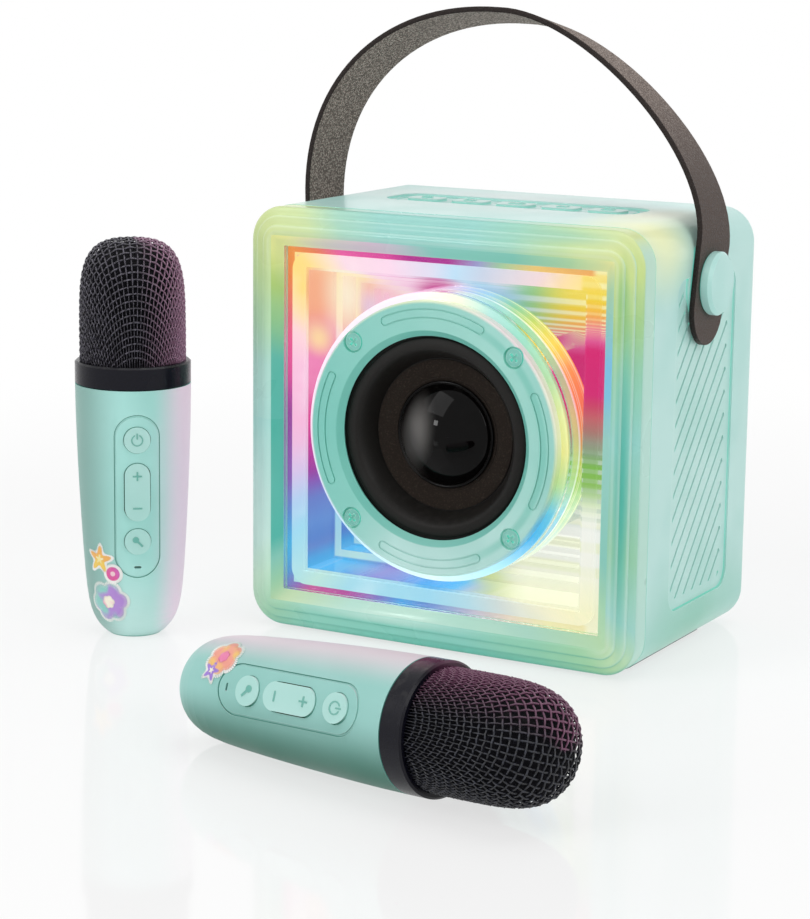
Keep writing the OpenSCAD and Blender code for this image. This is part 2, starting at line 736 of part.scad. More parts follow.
module mic_collar_piece() color(rubber) rotate_extrude() polygon([
    [grille_r - 4, mic_shell - 3], [mic_r - 2.4, mic_shell - 3], [mic_r - 2.4, mic_shell],
    [collar_r - 0.4, mic_shell], [collar_r, mic_shell + 0.5], [collar_r, grille_from - 0.6],
    [collar_r - 0.7, grille_from], [grille_r - 4, grille_from],
]);

// Dome of the grille as [radius, height], shrunk by inset
grille_dome = function(inset) [for (t = [0, 0.3, 0.5, 0.65, 0.76, 0.84, 0.9, 0.945, 0.975, 0.992, 1])
    [max(grille_line(t) - inset, 0), grille_from + (mic_len - grille_from - inset) * t]];

module mic_grille_piece() color(rubber) rotate_extrude() difference() {
    polygon(concat([[0, grille_from]], grille_dome(0)));
    polygon(concat([[0, grille_from - 1]], [[grille_r - 1.2, grille_from - 1]], grille_dome(1.2)));
}

module mic_foam_piece() color([0.16, 0.16, 0.18]) rotate_extrude() difference() {
    polygon(concat([[0, grille_from]], grille_dome(1.3)));
    polygon([[0, grille_from - 1], [10, grille_from - 1], [10, grille_from + 20], [0, grille_from + 20]]);
}

module mic_capsule_piece() color(steel) {
    translate([0, 0, grille_from - 4]) cylinder(h = 4, r = grille_r - 4);
    translate([0, 0, grille_from]) cylinder(h = 19, r = 9.8);
}

// Round key with a retaining flange under the shell
module mic_key(s) color(mint_deep) {
    top = mic_body_r(s);
    on_control_face(top - 4.5, top + 0.7) translate([0, s]) circle(small_key_r);
    on_control_face(top - 5.5, top - 4.2) translate([0, s]) circle(small_key_r + 1);
    on_control_face(top + 0.7, top + 0.9) translate([0, s]) children();
}

module mic_power_piece() mic_key(power_s) {
    difference() { circle(2.2); circle(1.75); translate([0, 2]) square(1.5, center = true); }
    translate([-0.25, 0.4]) square([0.5, 2.2]);
}

module mic_effect_piece() mic_key(effect_s) {
    rotate(45) translate([0, 1]) circle(1.2);
    rotate(45) translate([-0.4, -2.6]) square([0.8, 2.8]);
}

module mic_rocker_piece() color(mint_deep) translate([0, 0, rocker_s]) {
    top = mic_body_r(rocker_s);
    on_control_face(top - rocker_deep, top + 0.8) stadium(rocker_w, rocker_l);
    on_control_face(top + 0.8, top + 1) {
        for (y = [-6, 6]) translate([0, y]) square([3.4, 0.6], center = true);
        translate([0, 6]) square([0.6, 3.4], center = true);
    }
}

module mic_board_piece() color(board_green) {
    on_control_face(10.6, 12) translate([-8, 22]) square([16, 64]);
    for (s = [power_s, effect_s]) on_control_face(11.9, mic_body_r(s) - 6.4) translate([0, s]) circle(2);
    for (s = [-7, 7]) on_control_face(11.9, mic_body_r(rocker_s) - rocker_deep - 1)
        translate([0, rocker_s + s]) circle(1.5);
}

module mic_battery_piece() color([0.20, 0.45, 0.75]) translate([0, 2.8, 30]) cylinder(h = 50, r = 7.1);

// Where each microphone stands or lies
rest_lift = max([for (s = mic_stations) mic_body_r(s) * cos(mic_2_tilt) - s * sin(mic_2_tilt)]);
collar_lift = collar_r * cos(mic_2_tilt) - (grille_from - 0.6) * sin(mic_2_tilt);
mic_1_at = [-111.4, -81, 0];
mic_2_at = [-18.2, -176.1, max(rest_lift, collar_lift)];
mic_2_roll = -20;

module mic_1_place() translate(mic_1_at) rotate([0, 0, mic_1_turn]) children();
module mic_2_place() translate(mic_2_at) rotate([0, 90 - mic_2_tilt, mic_2_yaw]) rotate([0, 0, mic_2_roll])
    children();

module mic_1_shell() mic_1_place() mic_shell_piece();
module mic_1_collar() mic_1_place() mic_collar_piece();
module mic_1_grille() mic_1_place() mic_grille_piece();
module mic_1_foam() mic_1_place() mic_foam_piece();
module mic_1_capsule() mic_1_place() mic_capsule_piece();
module mic_1_control_plate() mic_1_place() mic_plate_piece();
module mic_1_power_button() mic_1_place() mic_power_piece();
module mic_1_volume_rocker() mic_1_place() mic_rocker_piece();
module mic_1_effect_button() mic_1_place() mic_effect_piece();
module mic_1_board() mic_1_place() mic_board_piece();
module mic_1_battery() mic_1_place() mic_battery_piece();
module mic_2_shell() mic_2_place() mic_shell_piece();
module mic_2_collar() mic_2_place() mic_collar_piece();
module mic_2_grille() mic_2_place() mic_grille_piece();
module mic_2_foam() mic_2_place() mic_foam_piece();
module mic_2_capsule() mic_2_place() mic_capsule_piece();
module mic_2_control_plate() mic_2_place() mic_plate_piece();
module mic_2_power_button() mic_2_place() mic_power_piece();
module mic_2_volume_rocker() mic_2_place() mic_rocker_piece();
module mic_2_effect_button() mic_2_place() mic_effect_piece();
module mic_2_board() mic_2_place() mic_board_piece();
module mic_2_battery() mic_2_place() mic_battery_piece();

main_shell();
front_bezel();
back_cover();
back_cover_screws();
base_pad();
side_grille_left();
side_grille_right();
window_panel();
light_frame();
led_strip();
light_tunnel();
rear_mirror();
clear_spacer_ring();
ring_standoffs();
face_ring();
face_ring_screws();
driver_basket();
driver_magnet();
cone_surround();
speaker_cone();
dust_cap();
voice_coil();
spider();
control_panel();
power_button();
previous_button();
play_button();
next_button();
mode_button();
button_board();
main_board();
battery_pack();
charge_socket();
aux_socket();
card_socket();
handle_strap();
pivot_button_left();
pivot_button_right();
mic_1_shell();
mic_1_collar();
mic_1_grille();
mic_1_foam();
mic_1_capsule();
mic_1_control_plate();
mic_1_power_button();
mic_1_volume_rocker();
mic_1_effect_button();
mic_1_board();
mic_1_battery();
mic_2_shell();
mic_2_collar();
mic_2_grille();
mic_2_foam();
mic_2_capsule();
mic_2_control_plate();
mic_2_power_button();
mic_2_volume_rocker();
mic_2_effect_button();
mic_2_board();
mic_2_battery();
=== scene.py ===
"""Portable karaoke machine: a cube speaker with a light tunnel, a strap handle and two wireless microphones.

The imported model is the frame. This script gives every piece its finish, and models the pieces whose looks
need more than the frame's plain solids: the front moulding, the moving parts of the loudspeaker, the strap,
the woven grilles of the microphones and their die-cut stickers.
"""

import logging
import math
from bisect import bisect_right
from dataclasses import dataclass, field
from enum import Enum
from typing import Any, Callable, Sequence

import bmesh
import bpy
from mathutils import Euler, Matrix, Vector


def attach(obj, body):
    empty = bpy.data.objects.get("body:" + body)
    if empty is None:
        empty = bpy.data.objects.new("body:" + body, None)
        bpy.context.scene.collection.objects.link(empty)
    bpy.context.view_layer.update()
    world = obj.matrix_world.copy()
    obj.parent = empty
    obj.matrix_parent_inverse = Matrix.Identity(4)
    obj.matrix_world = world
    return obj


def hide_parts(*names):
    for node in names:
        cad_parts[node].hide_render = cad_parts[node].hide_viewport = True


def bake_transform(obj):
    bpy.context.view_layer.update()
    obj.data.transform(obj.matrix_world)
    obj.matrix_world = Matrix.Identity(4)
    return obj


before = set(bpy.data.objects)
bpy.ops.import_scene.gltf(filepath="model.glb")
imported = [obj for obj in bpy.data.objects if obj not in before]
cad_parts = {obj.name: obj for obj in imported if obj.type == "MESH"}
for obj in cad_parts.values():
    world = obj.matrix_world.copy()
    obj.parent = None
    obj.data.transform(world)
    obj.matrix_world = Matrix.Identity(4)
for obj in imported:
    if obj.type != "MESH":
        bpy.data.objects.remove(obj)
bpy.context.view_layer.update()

LOG = logging.getLogger("karaoke_machine")
MM = 0.001

BMesh = bmesh.types.BMesh
Face = bmesh.types.BMFace
Vert = bmesh.types.BMVert
Node = bpy.types.Node
Socket = bpy.types.NodeSocket
Value = Any
Point = tuple[float, float, float]


# ---------------------------------------------------------------- colours and shader recipes


def linear(code: str) -> tuple[float, float, float, float]:
    """Turns a written colour into the linear one that shaders use.

    Args:
        code: The colour as #rrggbb.

    Returns:
        The linear colour, opaque.
    """
    channels = [int(code[i:i + 2], 16) / 255 for i in (1, 3, 5)]
    red, green, blue = [c / 12.92 if c <= 0.04045 else ((c + 0.055) / 1.055) ** 2.4 for c in channels]
    return (red, green, blue, 1.0)


class Recipe:
    """A node tree under construction, in which each call adds one node and wires it."""

    def __init__(self, tree: bpy.types.NodeTree) -> None:
        """Keeps the tree that the calls fill."""
        self.tree = tree

    def wire(self, socket: Socket, value: Value) -> None:
        """Links a value that is a socket to an input, or sets a number, a vector or a written colour."""
        if isinstance(value, Socket):
            self.tree.links.new(value, socket)
        else:
            socket.default_value = linear(value) if isinstance(value, str) else value

    def node(self, kind: str, inputs: dict[Any, Value] | None = None, **settings: Any) -> Node:
        """Adds a node.

        Args:
            kind: The node's type, without its ShaderNode prefix.
            inputs: Sockets to link and plain values to set, by the input's name or number.
            settings: Properties of the node.

        Returns:
            The node.
        """
        made = self.tree.nodes.new("ShaderNode" + kind)
        for name, value in settings.items():
            setattr(made, name, value)
        for name, value in (inputs or {}).items():
            self.wire(made.inputs[name], value)
        return made

    def math(self, operation: str, a: Value, b: Value = 0.0) -> Socket:
        """One arithmetic step on numbers."""
        return self.node("Math", {0: a, 1: b}, operation=operation).outputs[0]

    def plus(self, a: Value, b: Value) -> Socket:
        """The sum of two numbers."""
        return self.math("ADD", a, b)

    def minus(self, a: Value, b: Value) -> Socket:
        """The first number less the second."""
        return self.math("SUBTRACT", a, b)

    def times(self, first: Value, *others: Value) -> Socket:
        """The product of two or more numbers."""
        for other in others:
            first = self.math("MULTIPLY", first, other)
        return first

    def over(self, a: Value, b: Value) -> Socket:
        """The first number divided by the second."""
        return self.math("DIVIDE", a, b)

    def larger(self, a: Value, b: Value) -> Socket:
        """The larger of two numbers."""
        return self.math("MAXIMUM", a, b)

    def size(self, a: Value) -> Socket:
        """A number without its sign."""
        return self.math("ABSOLUTE", a)

    def dot(self, a: Value, b: Value) -> Socket:
        """The dot product of two vectors."""
        return self.node("VectorMath", {0: a, 1: b}, operation="DOT_PRODUCT").outputs["Value"]

    def normal(self) -> Socket:
        """The direction that the surface faces."""
        return self.node("NewGeometry").outputs["Normal"]

    def vector(self, operation: str, a: Value, b: Value = (0.0, 0.0, 0.0)) -> Socket:
        """One arithmetic step on vectors, put out as a vector."""
        return self.node("VectorMath", {0: a, 1: b}, operation=operation).outputs["Vector"]

    def length(self, a: Value) -> Socket:
        """The length of a vector."""
        return self.node("VectorMath", {0: a}, operation="LENGTH").outputs["Value"]

    def split(self, a: Value) -> tuple[Socket, Socket, Socket]:
        """The three numbers of a vector."""
        out = self.node("SeparateXYZ", {0: a}).outputs
        return out[0], out[1], out[2]

    def join(self, x: Value, y: Value, z: Value) -> Socket:
        """A vector of three numbers."""
        return self.node("CombineXYZ", {0: x, 1: y, 2: z}).outputs[0]

    def smooth(self, value: Value, low: Value, high: Value, start: Value = 0.0, end: Value = 1.0,
               ease: str = "SMOOTHSTEP") -> Socket:
        """Eases from start to end while the value goes from low to high."""
        inputs = {"Value": value, "From Min": low, "From Max": high, "To Min": start, "To Max": end}
        return self.node("MapRange", inputs, interpolation_type=ease).outputs["Result"]

    def even(self, value: Value, low: Value, high: Value, start: Value = 0.0, end: Value = 1.0) -> Socket:
        """Runs evenly from start to end while the value goes from low to high."""
        return self.smooth(value, low, high, start, end, "LINEAR")

    def mix(self, factor: Value, a: Value, b: Value, blend: str = "MIX") -> Socket:
        """Mixes two colours."""
        return self.node("Mix", {0: factor, 6: a, 7: b}, data_type="RGBA", blend_type=blend).outputs[2]

    def ramp(self, factor: Value, stops: Sequence[tuple[float, str]]) -> Socket:
        """Looks a colour up along a ramp of (place, colour) stops."""
        made = self.node("ValToRGB", {0: factor})
        elements = made.color_ramp.elements
        for place, _ in stops[2:]:
            elements.new(place)
        for element, (place, code) in zip(elements, stops):
            element.position = place
            element.color = linear(code)
        return made.outputs["Color"]

    def around(self, turn: Value, colours: dict[float, str]) -> Socket:
        """Looks a colour up by its place round the front: 0 degrees is right, 90 top and -90 bottom."""
        return self.ramp(turn, [((degrees + 180) / 360, code) for degrees, code in sorted(colours.items())])

    def noise(self, place: Value, scale: float, detail: float = 2.0, roughness: float = 0.5) -> Socket:
        """Cloudy noise from 0 to 1, scale in cells for each unit of place."""
        inputs = {"Vector": place, "Scale": scale, "Detail": detail, "Roughness": roughness}
        return self.node("TexNoise", inputs).outputs["Fac"]

    def millimetres(self) -> Socket:
        """The point on the object in millimetres, in the frame's own axes."""
        place = self.node("TexCoord").outputs["Object"]
        return self.node("VectorMath", {0: place, "Scale": 1 / MM}, operation="SCALE").outputs["Vector"]

    def turned(self, place: Value, at: Point, turn: Euler) -> Socket:
        """The point as seen from a piece that stands at a place with a turn."""
        inputs = {"Vector": place, "Location": at, "Rotation": turn}
        return self.node("Mapping", inputs, vector_type="TEXTURE").outputs[0]


@dataclass(frozen=True)
class Effect:
    """A shared shader effect: a node group with named inputs and outputs, built once."""

    name: str
    inputs: tuple[tuple[str, str, Value], ...]
    outputs: tuple[tuple[str, str], ...]
    fill: Callable[[Recipe, Node], tuple[Socket, ...]]

    def group(self) -> bpy.types.NodeTree:
        """Finds the effect's group, or builds it.

        Returns:
            The node group.
        """
        made = bpy.data.node_groups.get(self.name)
        if made:
            return made
        made = bpy.data.node_groups.new(self.name, "ShaderNodeTree")
        for label, kind, value in self.inputs:
            socket = made.interface.new_socket(label, in_out="INPUT", socket_type="NodeSocket" + kind)
            socket.default_value = value
        for label, kind in self.outputs:
            made.interface.new_socket(label, in_out="OUTPUT", socket_type="NodeSocket" + kind)
        entry = made.nodes.new("NodeGroupInput")
        leave = made.nodes.new("NodeGroupOutput")
        for number, socket in enumerate(self.fill(Recipe(made), entry)):
            made.links.new(socket, leave.inputs[number])
        return made

    def use(self, recipe: Recipe, inputs: dict[str, Value]) -> Node:
        """Places the effect in a material with its own values."""
        made = recipe.tree.nodes.new("ShaderNodeGroup")
        made.node_tree = self.group()
        for name, value in inputs.items():
            recipe.wire(made.inputs[name], value)
        return made


def fill_light_spot(r: Recipe, entry: Node) -> tuple[Socket, ...]:
    """Paints a spot of light, shade or reflection into a colour inside a soft ellipsoid; the painted light
    stands in for light that shines through from behind.
    """
    away = r.vector("SUBTRACT", entry.outputs["Place"], entry.outputs["Centre"])
    scaled = r.vector("DIVIDE", away, entry.outputs["Reach"])
    mask = r.smooth(r.length(scaled), 1.0, 0.0)
    mask = r.times(mask, entry.outputs["Strength"])
    return r.mix(mask, entry.outputs["Colour"], entry.outputs["Tint"]), mask


LIGHT_SPOT = Effect(
    "light_spot",
    (
        ("Colour", "Color", (1, 1, 1, 1)), ("Tint", "Color", (1, 1, 1, 1)), ("Place", "Vector", (0, 0, 0)),
        ("Centre", "Vector", (0, 0, 0)), ("Reach", "Vector", (1, 1, 1)), ("Strength", "Float", 1.0),
    ),
    (("Colour", "Color"), ("Mask", "Float")),
    fill_light_spot,
)


def fill_moulded_grain(r: Recipe, entry: Node) -> tuple[Socket, ...]:
    """The fine texture of a moulded surface: a bump, and a slow drift for colour and gloss."""
    fine = r.node("TexNoise", {"Vector": entry.outputs["Place"], "Scale": entry.outputs["Scale"]})
    fine.inputs["Detail"].default_value = 3.0
    inputs = {"Height": fine.outputs["Fac"], "Distance": MM, "Strength": entry.outputs["Depth"]}
    drift = r.noise(entry.outputs["Place"], 0.03, 2.0)
    return r.node("Bump", inputs).outputs[0], drift, fine.outputs["Fac"]


MOULDED_GRAIN = Effect(
    "moulded_grain",
    (("Place", "Vector", (0, 0, 0)), ("Scale", "Float", 2.0), ("Depth", "Float", 0.1)),
    (("Normal", "Vector"), ("Drift", "Float"), ("Fine", "Float")),
    fill_moulded_grain,
)


def fill_edge_light(r: Recipe, entry: Node) -> tuple[Socket, ...]:
    """A mask along sharp edges: lighter colours mixed in by it are painted highlights, darker ones painted
    shade; the strap uses it for its dark cut edges.
    """
    rounded = r.node("Bevel", {"Radius": entry.outputs["Radius"]}, samples=4).outputs[0]
    plain = r.normal()
    agree = r.dot(rounded, plain)
    return (r.times(r.smooth(agree, 0.99, 0.8), entry.outputs["Strength"]),)


EDGE_LIGHT = Effect(
    "edge_light",
    (("Radius", "Float", 0.3 * MM), ("Strength", "Float", 0.5)),
    (("Mask", "Float"),),
    fill_edge_light,
)


def fill_gap_light(r: Recipe, entry: Node) -> tuple[Socket, ...]:
    """Paints narrow gaps a deeper tint that glows a little: painted shade in the gap, and painted light that
    stands in for the light that travels through translucent plastic.
    """
    open_sky = r.node("AmbientOcclusion", {"Distance": entry.outputs["Distance"]}, samples=6).outputs["AO"]
    mask = r.smooth(open_sky, 0.75, 0.3)
    return r.mix(mask, entry.outputs["Colour"], entry.outputs["Tint"]), mask


GAP_LIGHT = Effect(
    "gap_light",
    (
        ("Colour", "Color", (1, 1, 1, 1)), ("Tint", "Color", linear("#5fbfae")),
        ("Distance", "Float", 1.2 * MM),
    ),
    (("Colour", "Color"), ("Mask", "Float")),
    fill_gap_light,
)


def fill_dust(r: Recipe, entry: Node) -> tuple[Socket, ...]:
    """A thin veil of dust on what faces up, broken up by noise."""
    up = r.split(r.normal())[2]
    patchy = r.smooth(r.noise(entry.outputs["Place"], 0.35, 4.0), 0.45, 0.7)
    mask = r.times(r.times(r.smooth(up, 0.3, 1.0), patchy), entry.outputs["Amount"])
    return (r.mix(mask, entry.outputs["Colour"], "#c9c6bf"),)


DUST = Effect(
    "dust",
    (("Colour", "Color", (1, 1, 1, 1)), ("Place", "Vector", (0, 0, 0)), ("Amount", "Float", 0.05)),
    (("Colour", "Color"),),
    fill_dust,
)


# ---------------------------------------------------------------- finishes


@dataclass(frozen=True)
class Spot:
    """A soft ellipsoid of painted light, shade or reflection on a surface, in millimetres."""

    tint: str
    centre: Point
    reach: Point
    strength: float = 1.0


def painted_light_spots(r: Recipe, colour: Socket, place: Socket, spots: Sequence[Spot]) -> Socket:
    """Paints spots of light, shade and reflection into a colour, in their order."""
    for spot in spots:
        inputs = {
            "Colour": colour, "Tint": spot.tint, "Place": place, "Centre": spot.centre,
            "Reach": spot.reach, "Strength": spot.strength,
        }
        colour = LIGHT_SPOT.use(r, inputs).outputs["Colour"]
    return colour


def glowing(r: Recipe, colour: Socket, mask: Socket, plain: float, filled: float) -> Socket:
    """The light that a colour gives off: a plain share of it, and a filled share where the mask is 1."""
    return r.mix(r.even(mask, 0.0, 1.0, plain, filled), "#000000", colour)


class Finish:
    """A surface finish that becomes one material. The kinds of finish below fill it in."""

    name: str

    def paint(self, r: Recipe, shader: Node) -> None:
        """Wires the finish into the shader of its material."""
        raise NotImplementedError

    def material(self) -> bpy.types.Material:
        """Finds the finish's material, or builds it.

        Returns:
            The material, with one Principled shader.
        """
        label = self.name + "_finish"
        made = bpy.data.materials.get(label)
        if made:
            return made
        made = bpy.data.materials.new(label)
        made.use_nodes = True
        tree = made.node_tree
        tree.nodes.clear()
        recipe = Recipe(tree)
        shader = recipe.node("BsdfPrincipled")
        leave = recipe.node("OutputMaterial")
        tree.links.new(shader.outputs[0], leave.inputs["Surface"])
        self.paint(recipe, shader)
        return made


def feed(r: Recipe, shader: Node, **inputs: Value) -> None:
    """Links or sets a shader's inputs, whose names are written with _ for a space."""
    for name, value in inputs.items():
        r.wire(shader.inputs[name.replace("_", " ")], value)


@dataclass(frozen=True)
class LitPlastic(Finish):
    """Translucent moulded plastic, tinted where light shines through it."""

    name: str
    colour: str
    shade: str
    # edge: the colour painted along sharp edges, a painted highlight where lighter and painted shade where
    # darker.
    edge: str = "#e9f7f4"
    edge_strength: float = 0.55
    edge_radius: float = 0.35
    roughness: float = 0.34
    coat: float = 0.25
    glow: float = 0.12
    grain: float = 0.05
    grain_scale: float = 3.0
    # gap: painted shade in narrow gaps, which also glow a little as painted light.
    gap: str = "#5fbfae"
    spots: tuple[Spot, ...] = ()
    sign_level: float = 0.0
    sign: str = "#74b9ad"

    def paint(self, r: Recipe, shader: Node) -> None:
        """Wires base tint, drift, painted light spots, painted edge light, painted gap shade with its glow,
        and grain.
        """
        place = r.millimetres()
        grain = MOULDED_GRAIN.use(r, {"Place": place, "Scale": self.grain_scale, "Depth": self.grain})
        drift = grain.outputs["Drift"]
        colour = r.mix(r.smooth(drift, 0.35, 0.65), self.colour, self.shade)
        colour = painted_light_spots(r, colour, place, self.spots)
        if self.sign_level:
            proud = r.smooth(r.split(place)[2], self.sign_level - 0.02, self.sign_level + 0.02)
            colour = r.mix(proud, colour, self.sign)
        # Along sharp edges, a lighter edge colour is a painted highlight and a darker one painted shade.
        edge = EDGE_LIGHT.use(r, {"Radius": self.edge_radius * MM, "Strength": self.edge_strength})
        colour = r.mix(edge.outputs["Mask"], colour, self.edge)
        # Painted shade in narrow gaps, which glow a little as painted light.
        gap = GAP_LIGHT.use(r, {"Colour": colour, "Tint": self.gap})
        colour = gap.outputs["Colour"]
        feed(
            r, shader, Base_Color=colour, Normal=grain.outputs["Normal"],
            Emission_Color=glowing(r, colour, gap.outputs["Mask"], self.glow, 0.6), Emission_Strength=1.0,
            Roughness=r.smooth(drift, 0.3, 0.7, self.roughness - 0.04, self.roughness + 0.05),
            Coat_Weight=self.coat, Coat_Roughness=0.12, Specular_IOR_Level=0.3,
        )


@dataclass(frozen=True)
class DarkMoulding(Finish):
    """Black plastic, rubber, paper or foam, told apart by gloss and grain."""

    name: str
    colour: str
    fleck: str
    roughness: float = 0.5
    grain: float = 0.1
    grain_scale: float = 3.0
    coat: float = 0.0
    edge_strength: float = 0.25
    dust: float = 0.04
    sheen: float = 0.2
    spots: tuple[Spot, ...] = ()

    def paint(self, r: Recipe, shader: Node) -> None:
        """Wires the flecked colour, painted light spots and reflections, a little dust, painted edge light
        and grain.
        """
        place = r.millimetres()
        grain = MOULDED_GRAIN.use(r, {"Place": place, "Scale": self.grain_scale, "Depth": self.grain})
        fine, drift = grain.outputs["Fine"], grain.outputs["Drift"]
        colour = r.mix(r.smooth(fine, 0.5, 0.75), self.colour, self.fleck)
        edge = EDGE_LIGHT.use(r, {"Radius": 0.25 * MM, "Strength": self.edge_strength})
        # A painted highlight along the edges, then the finish's spots: painted light on the collars, a
        # painted reflection on the cap.
        colour = painted_light_spots(r, r.mix(edge.outputs["Mask"], colour, "#5a5856"), place, self.spots)
        colour = DUST.use(r, {"Colour": colour, "Place": place, "Amount": self.dust}).outputs["Colour"]
        rough = r.smooth(drift, 0.3, 0.7, max(self.roughness - 0.05, 0.02), self.roughness + 0.06)
        feed(
            r, shader, Base_Color=colour, Roughness=rough, Normal=grain.outputs["Normal"],
            Coat_Weight=self.coat, Coat_Roughness=0.03, Specular_IOR_Level=self.sheen,
        )


@dataclass(frozen=True)
class Metal(Finish):
    """Plated or bare metal with fine scratches."""

    name: str
    colour: str
    dull: str
    roughness: float = 0.28

    def paint(self, r: Recipe, shader: Node) -> None:
        """Wires the scratched colour and gloss, and a painted highlight along the edges."""
        scratched = r.noise(r.millimetres(), 2.5, 4.0, 0.7)
        colour = r.mix(r.smooth(scratched, 0.35, 0.7), self.colour, self.dull)
        edge = EDGE_LIGHT.use(r, {"Radius": 0.15 * MM, "Strength": 0.6})
        colour = r.mix(edge.outputs["Mask"], colour, "#f1f3f4")
        bump = r.node("Bump", {"Height": scratched, "Distance": MM, "Strength": 0.04}).outputs[0]
        rough = r.smooth(scratched, 0.3, 0.7, self.roughness, self.roughness + 0.14)
        feed(r, shader, Base_Color=colour, Roughness=rough, Normal=bump, Metallic=1.0)


@dataclass(frozen=True)
class ClearAcrylic(Finish):
    """Polished clear plastic with a faint haze."""

    name: str
    tint: str = "#f4fbfb"

    def paint(self, r: Recipe, shader: Node) -> None:
        """Wires the tint and the haze."""
        haze = r.noise(r.millimetres(), 0.05, 2.0)
        colour = r.mix(haze, self.tint, "#ffffff")
        feed(
            r, shader, Base_Color=colour, Roughness=r.smooth(haze, 0.3, 0.7, 0.01, 0.04),
            Transmission_Weight=1.0, IOR=1.12,
        )


FRONT_AXIS_Z = 80.5


def round_the_front(r: Recipe) -> tuple[Socket, Socket, Socket, Socket]:
    """Places a point in the front view, round the loudspeaker's axis.

    Returns:
        The share of a full turn from the left, through the bottom, right and top; the point across and up
        from the axis; and how far forward it is, all lengths in millimetres.
    """
    x, y, z = r.split(r.millimetres())
    up = r.minus(z, FRONT_AXIS_Z)
    angle = r.math("ARCTAN2", up, x)
    turn = r.plus(r.over(angle, math.tau), 0.5)
    return turn, x, up, r.times(y, -1.0)


SIGHT_FRONT = 47.5
SIGHT_ACROSS = 0.51
SIGHT_UP = 0.234


def seen_from_the_right(r: Recipe, x: Socket, up: Socket, forward: Socket) -> tuple[Socket, Socket]:
    """Shears a point inside to where it crosses the window for someone at the right and a little above."""
    depth = r.minus(SIGHT_FRONT, forward)
    return r.plus(x, r.times(depth, SIGHT_ACROSS)), r.plus(up, r.times(depth, SIGHT_UP))


# Painted light round the window, in degrees round the front: PASTEL on the lit treads and the light frame,
# WALLS on the tunnel's walls, MARGIN past the light frame.
PASTEL = {
    -180: "#f5bfdd", -172: "#efc2e0", -162: "#d9c8e8", -153: "#b9d3ee", -145: "#a8dbee", -136: "#b4e0e6",
    -131: "#c3e4dc", -122: "#aeddea", -93: "#a6d9ec", -78: "#b8dae4", -66: "#d6dcd8", -52: "#f3eed0",
    -45: "#f6f0c8", 0: "#f6d7dc", 45: "#fde27a", 50: "#fbe0a8", 57: "#f2dcdc", 75: "#d0d8e8",
    85: "#c6e2f4", 95: "#e6e0f0", 110: "#fadcec", 124: "#fadfe8", 128: "#fbe4cc", 134: "#fddf90",
    140: "#fddd8a", 146: "#fbe0b8", 151: "#fbd8dc", 160: "#f7c9e0", 179: "#f5bfdd",
}
WALLS = {
    -180: "#d8418f", -170: "#c03a93", -161: "#9f3f9d", -157: "#8a5cb4", -152: "#7080c6", -145: "#6a90d0",
    -139: "#5a80c8", -136: "#48a8e0", -133: "#52b6ea", -126: "#68a6da", -117: "#8c82c8", -99: "#6a94d8",
    -92: "#3aa6ea", -85: "#56b2e6", -79: "#a2b8d0", -70: "#c8d09c", -60: "#dfe0a8", -48: "#f4ecc4",
    46: "#ecd44e", 60: "#9cc48c", 76: "#8fc8dc", 90: "#b0b4dc", 100: "#cf4c9a", 110: "#e07cb8",
    120: "#f2bcdc", 129: "#fbe9dc", 136: "#f4b890", 144: "#f2a488", 151: "#ee9ab0", 158: "#ea78b0",
    179: "#d8418f",
}
MARGIN = {
    -180: "#9b4a9e", -160: "#8a62b4", -150: "#5f8fd0", -143: "#4fb2e2", -138: "#5a9ad4", -134: "#8a70b8",
    -131: "#c8609c", -122: "#b8549c", -112: "#7f78c0", -104: "#4aa0e0", -95: "#6a8ed0", -86: "#93a4cc",
    -78: "#b8b4c8", -66: "#e2cfbc", -55: "#f0e8b4", 46: "#f0a860", 60: "#f0c878", 70: "#a8cca0",
    78: "#a09ccc", 88: "#b23c94", 103: "#b8368f", 110: "#dc4c9c", 124: "#ea62a4", 130: "#e8805c",
    135: "#f0944a", 141: "#ee8450", 149: "#e46a78", 156: "#ea5a92", 165: "#dd5598", 172: "#b84a9c",
    179: "#9b4a9e",
}
# Painted light up the window's right part, from its foot to its top.
COLUMN = [
    (0.0, "#f3edcc"), (0.06, "#f4f0cc"), (0.14, "#f1f0d8"), (0.19, "#eeeee4"), (0.31, "#eff0ea"),
    (0.35, "#e2ead0"), (0.40, "#a7c98a"), (0.42, "#8fbf5f"), (0.465, "#86bb5a"), (0.50, "#8fa884"),
    (0.53, "#9c9a88"), (0.56, "#b08078"), (0.60, "#c96a72"), (0.63, "#cf4f70"), (0.66, "#d5387a"),
    (0.78, "#d8357a"), (0.805, "#e0609a"), (0.835, "#ea8a9a"), (0.862, "#f0a468"), (0.885, "#f2c050"),
    (0.92, "#f0d54a"), (1.0, "#fbe492"),
]
# Painted washes of coloured light across the window.
WASHES = (
    Spot("#f4ab84", (-54, 0, 50), (9, 99, 14), 0.9), Spot("#fbe3a0", (-52, 0, 32), (8, 99, 9), 0.8),
    Spot("#fdf3d8", (-41, 0, 50), (13, 99, 24), 0.9), Spot("#f6c6e4", (-24, 0, 50), (17, 99, 13), 0.8),
    Spot("#e0cdea", (-32, 0, 47), (6, 99, 8), 0.6), Spot("#cb3f92", (-2, 0, 55.5), (14, 99, 5), 1.0),
    Spot("#8ecbea", (16, 0, 51), (13, 99, 11), 0.9), Spot("#3fa8ea", (-3, 0, -56.5), (16, 99, 6), 0.8),
    Spot("#ccd68c", (22, 0, -50), (16, 99, 6), 0.9), Spot("#d4c4cc", (24, 0, -60), (18, 99, 4), 0.8),
    Spot("#bdb0be", (44, 0, -52), (16, 99, 7), 0.55),
)


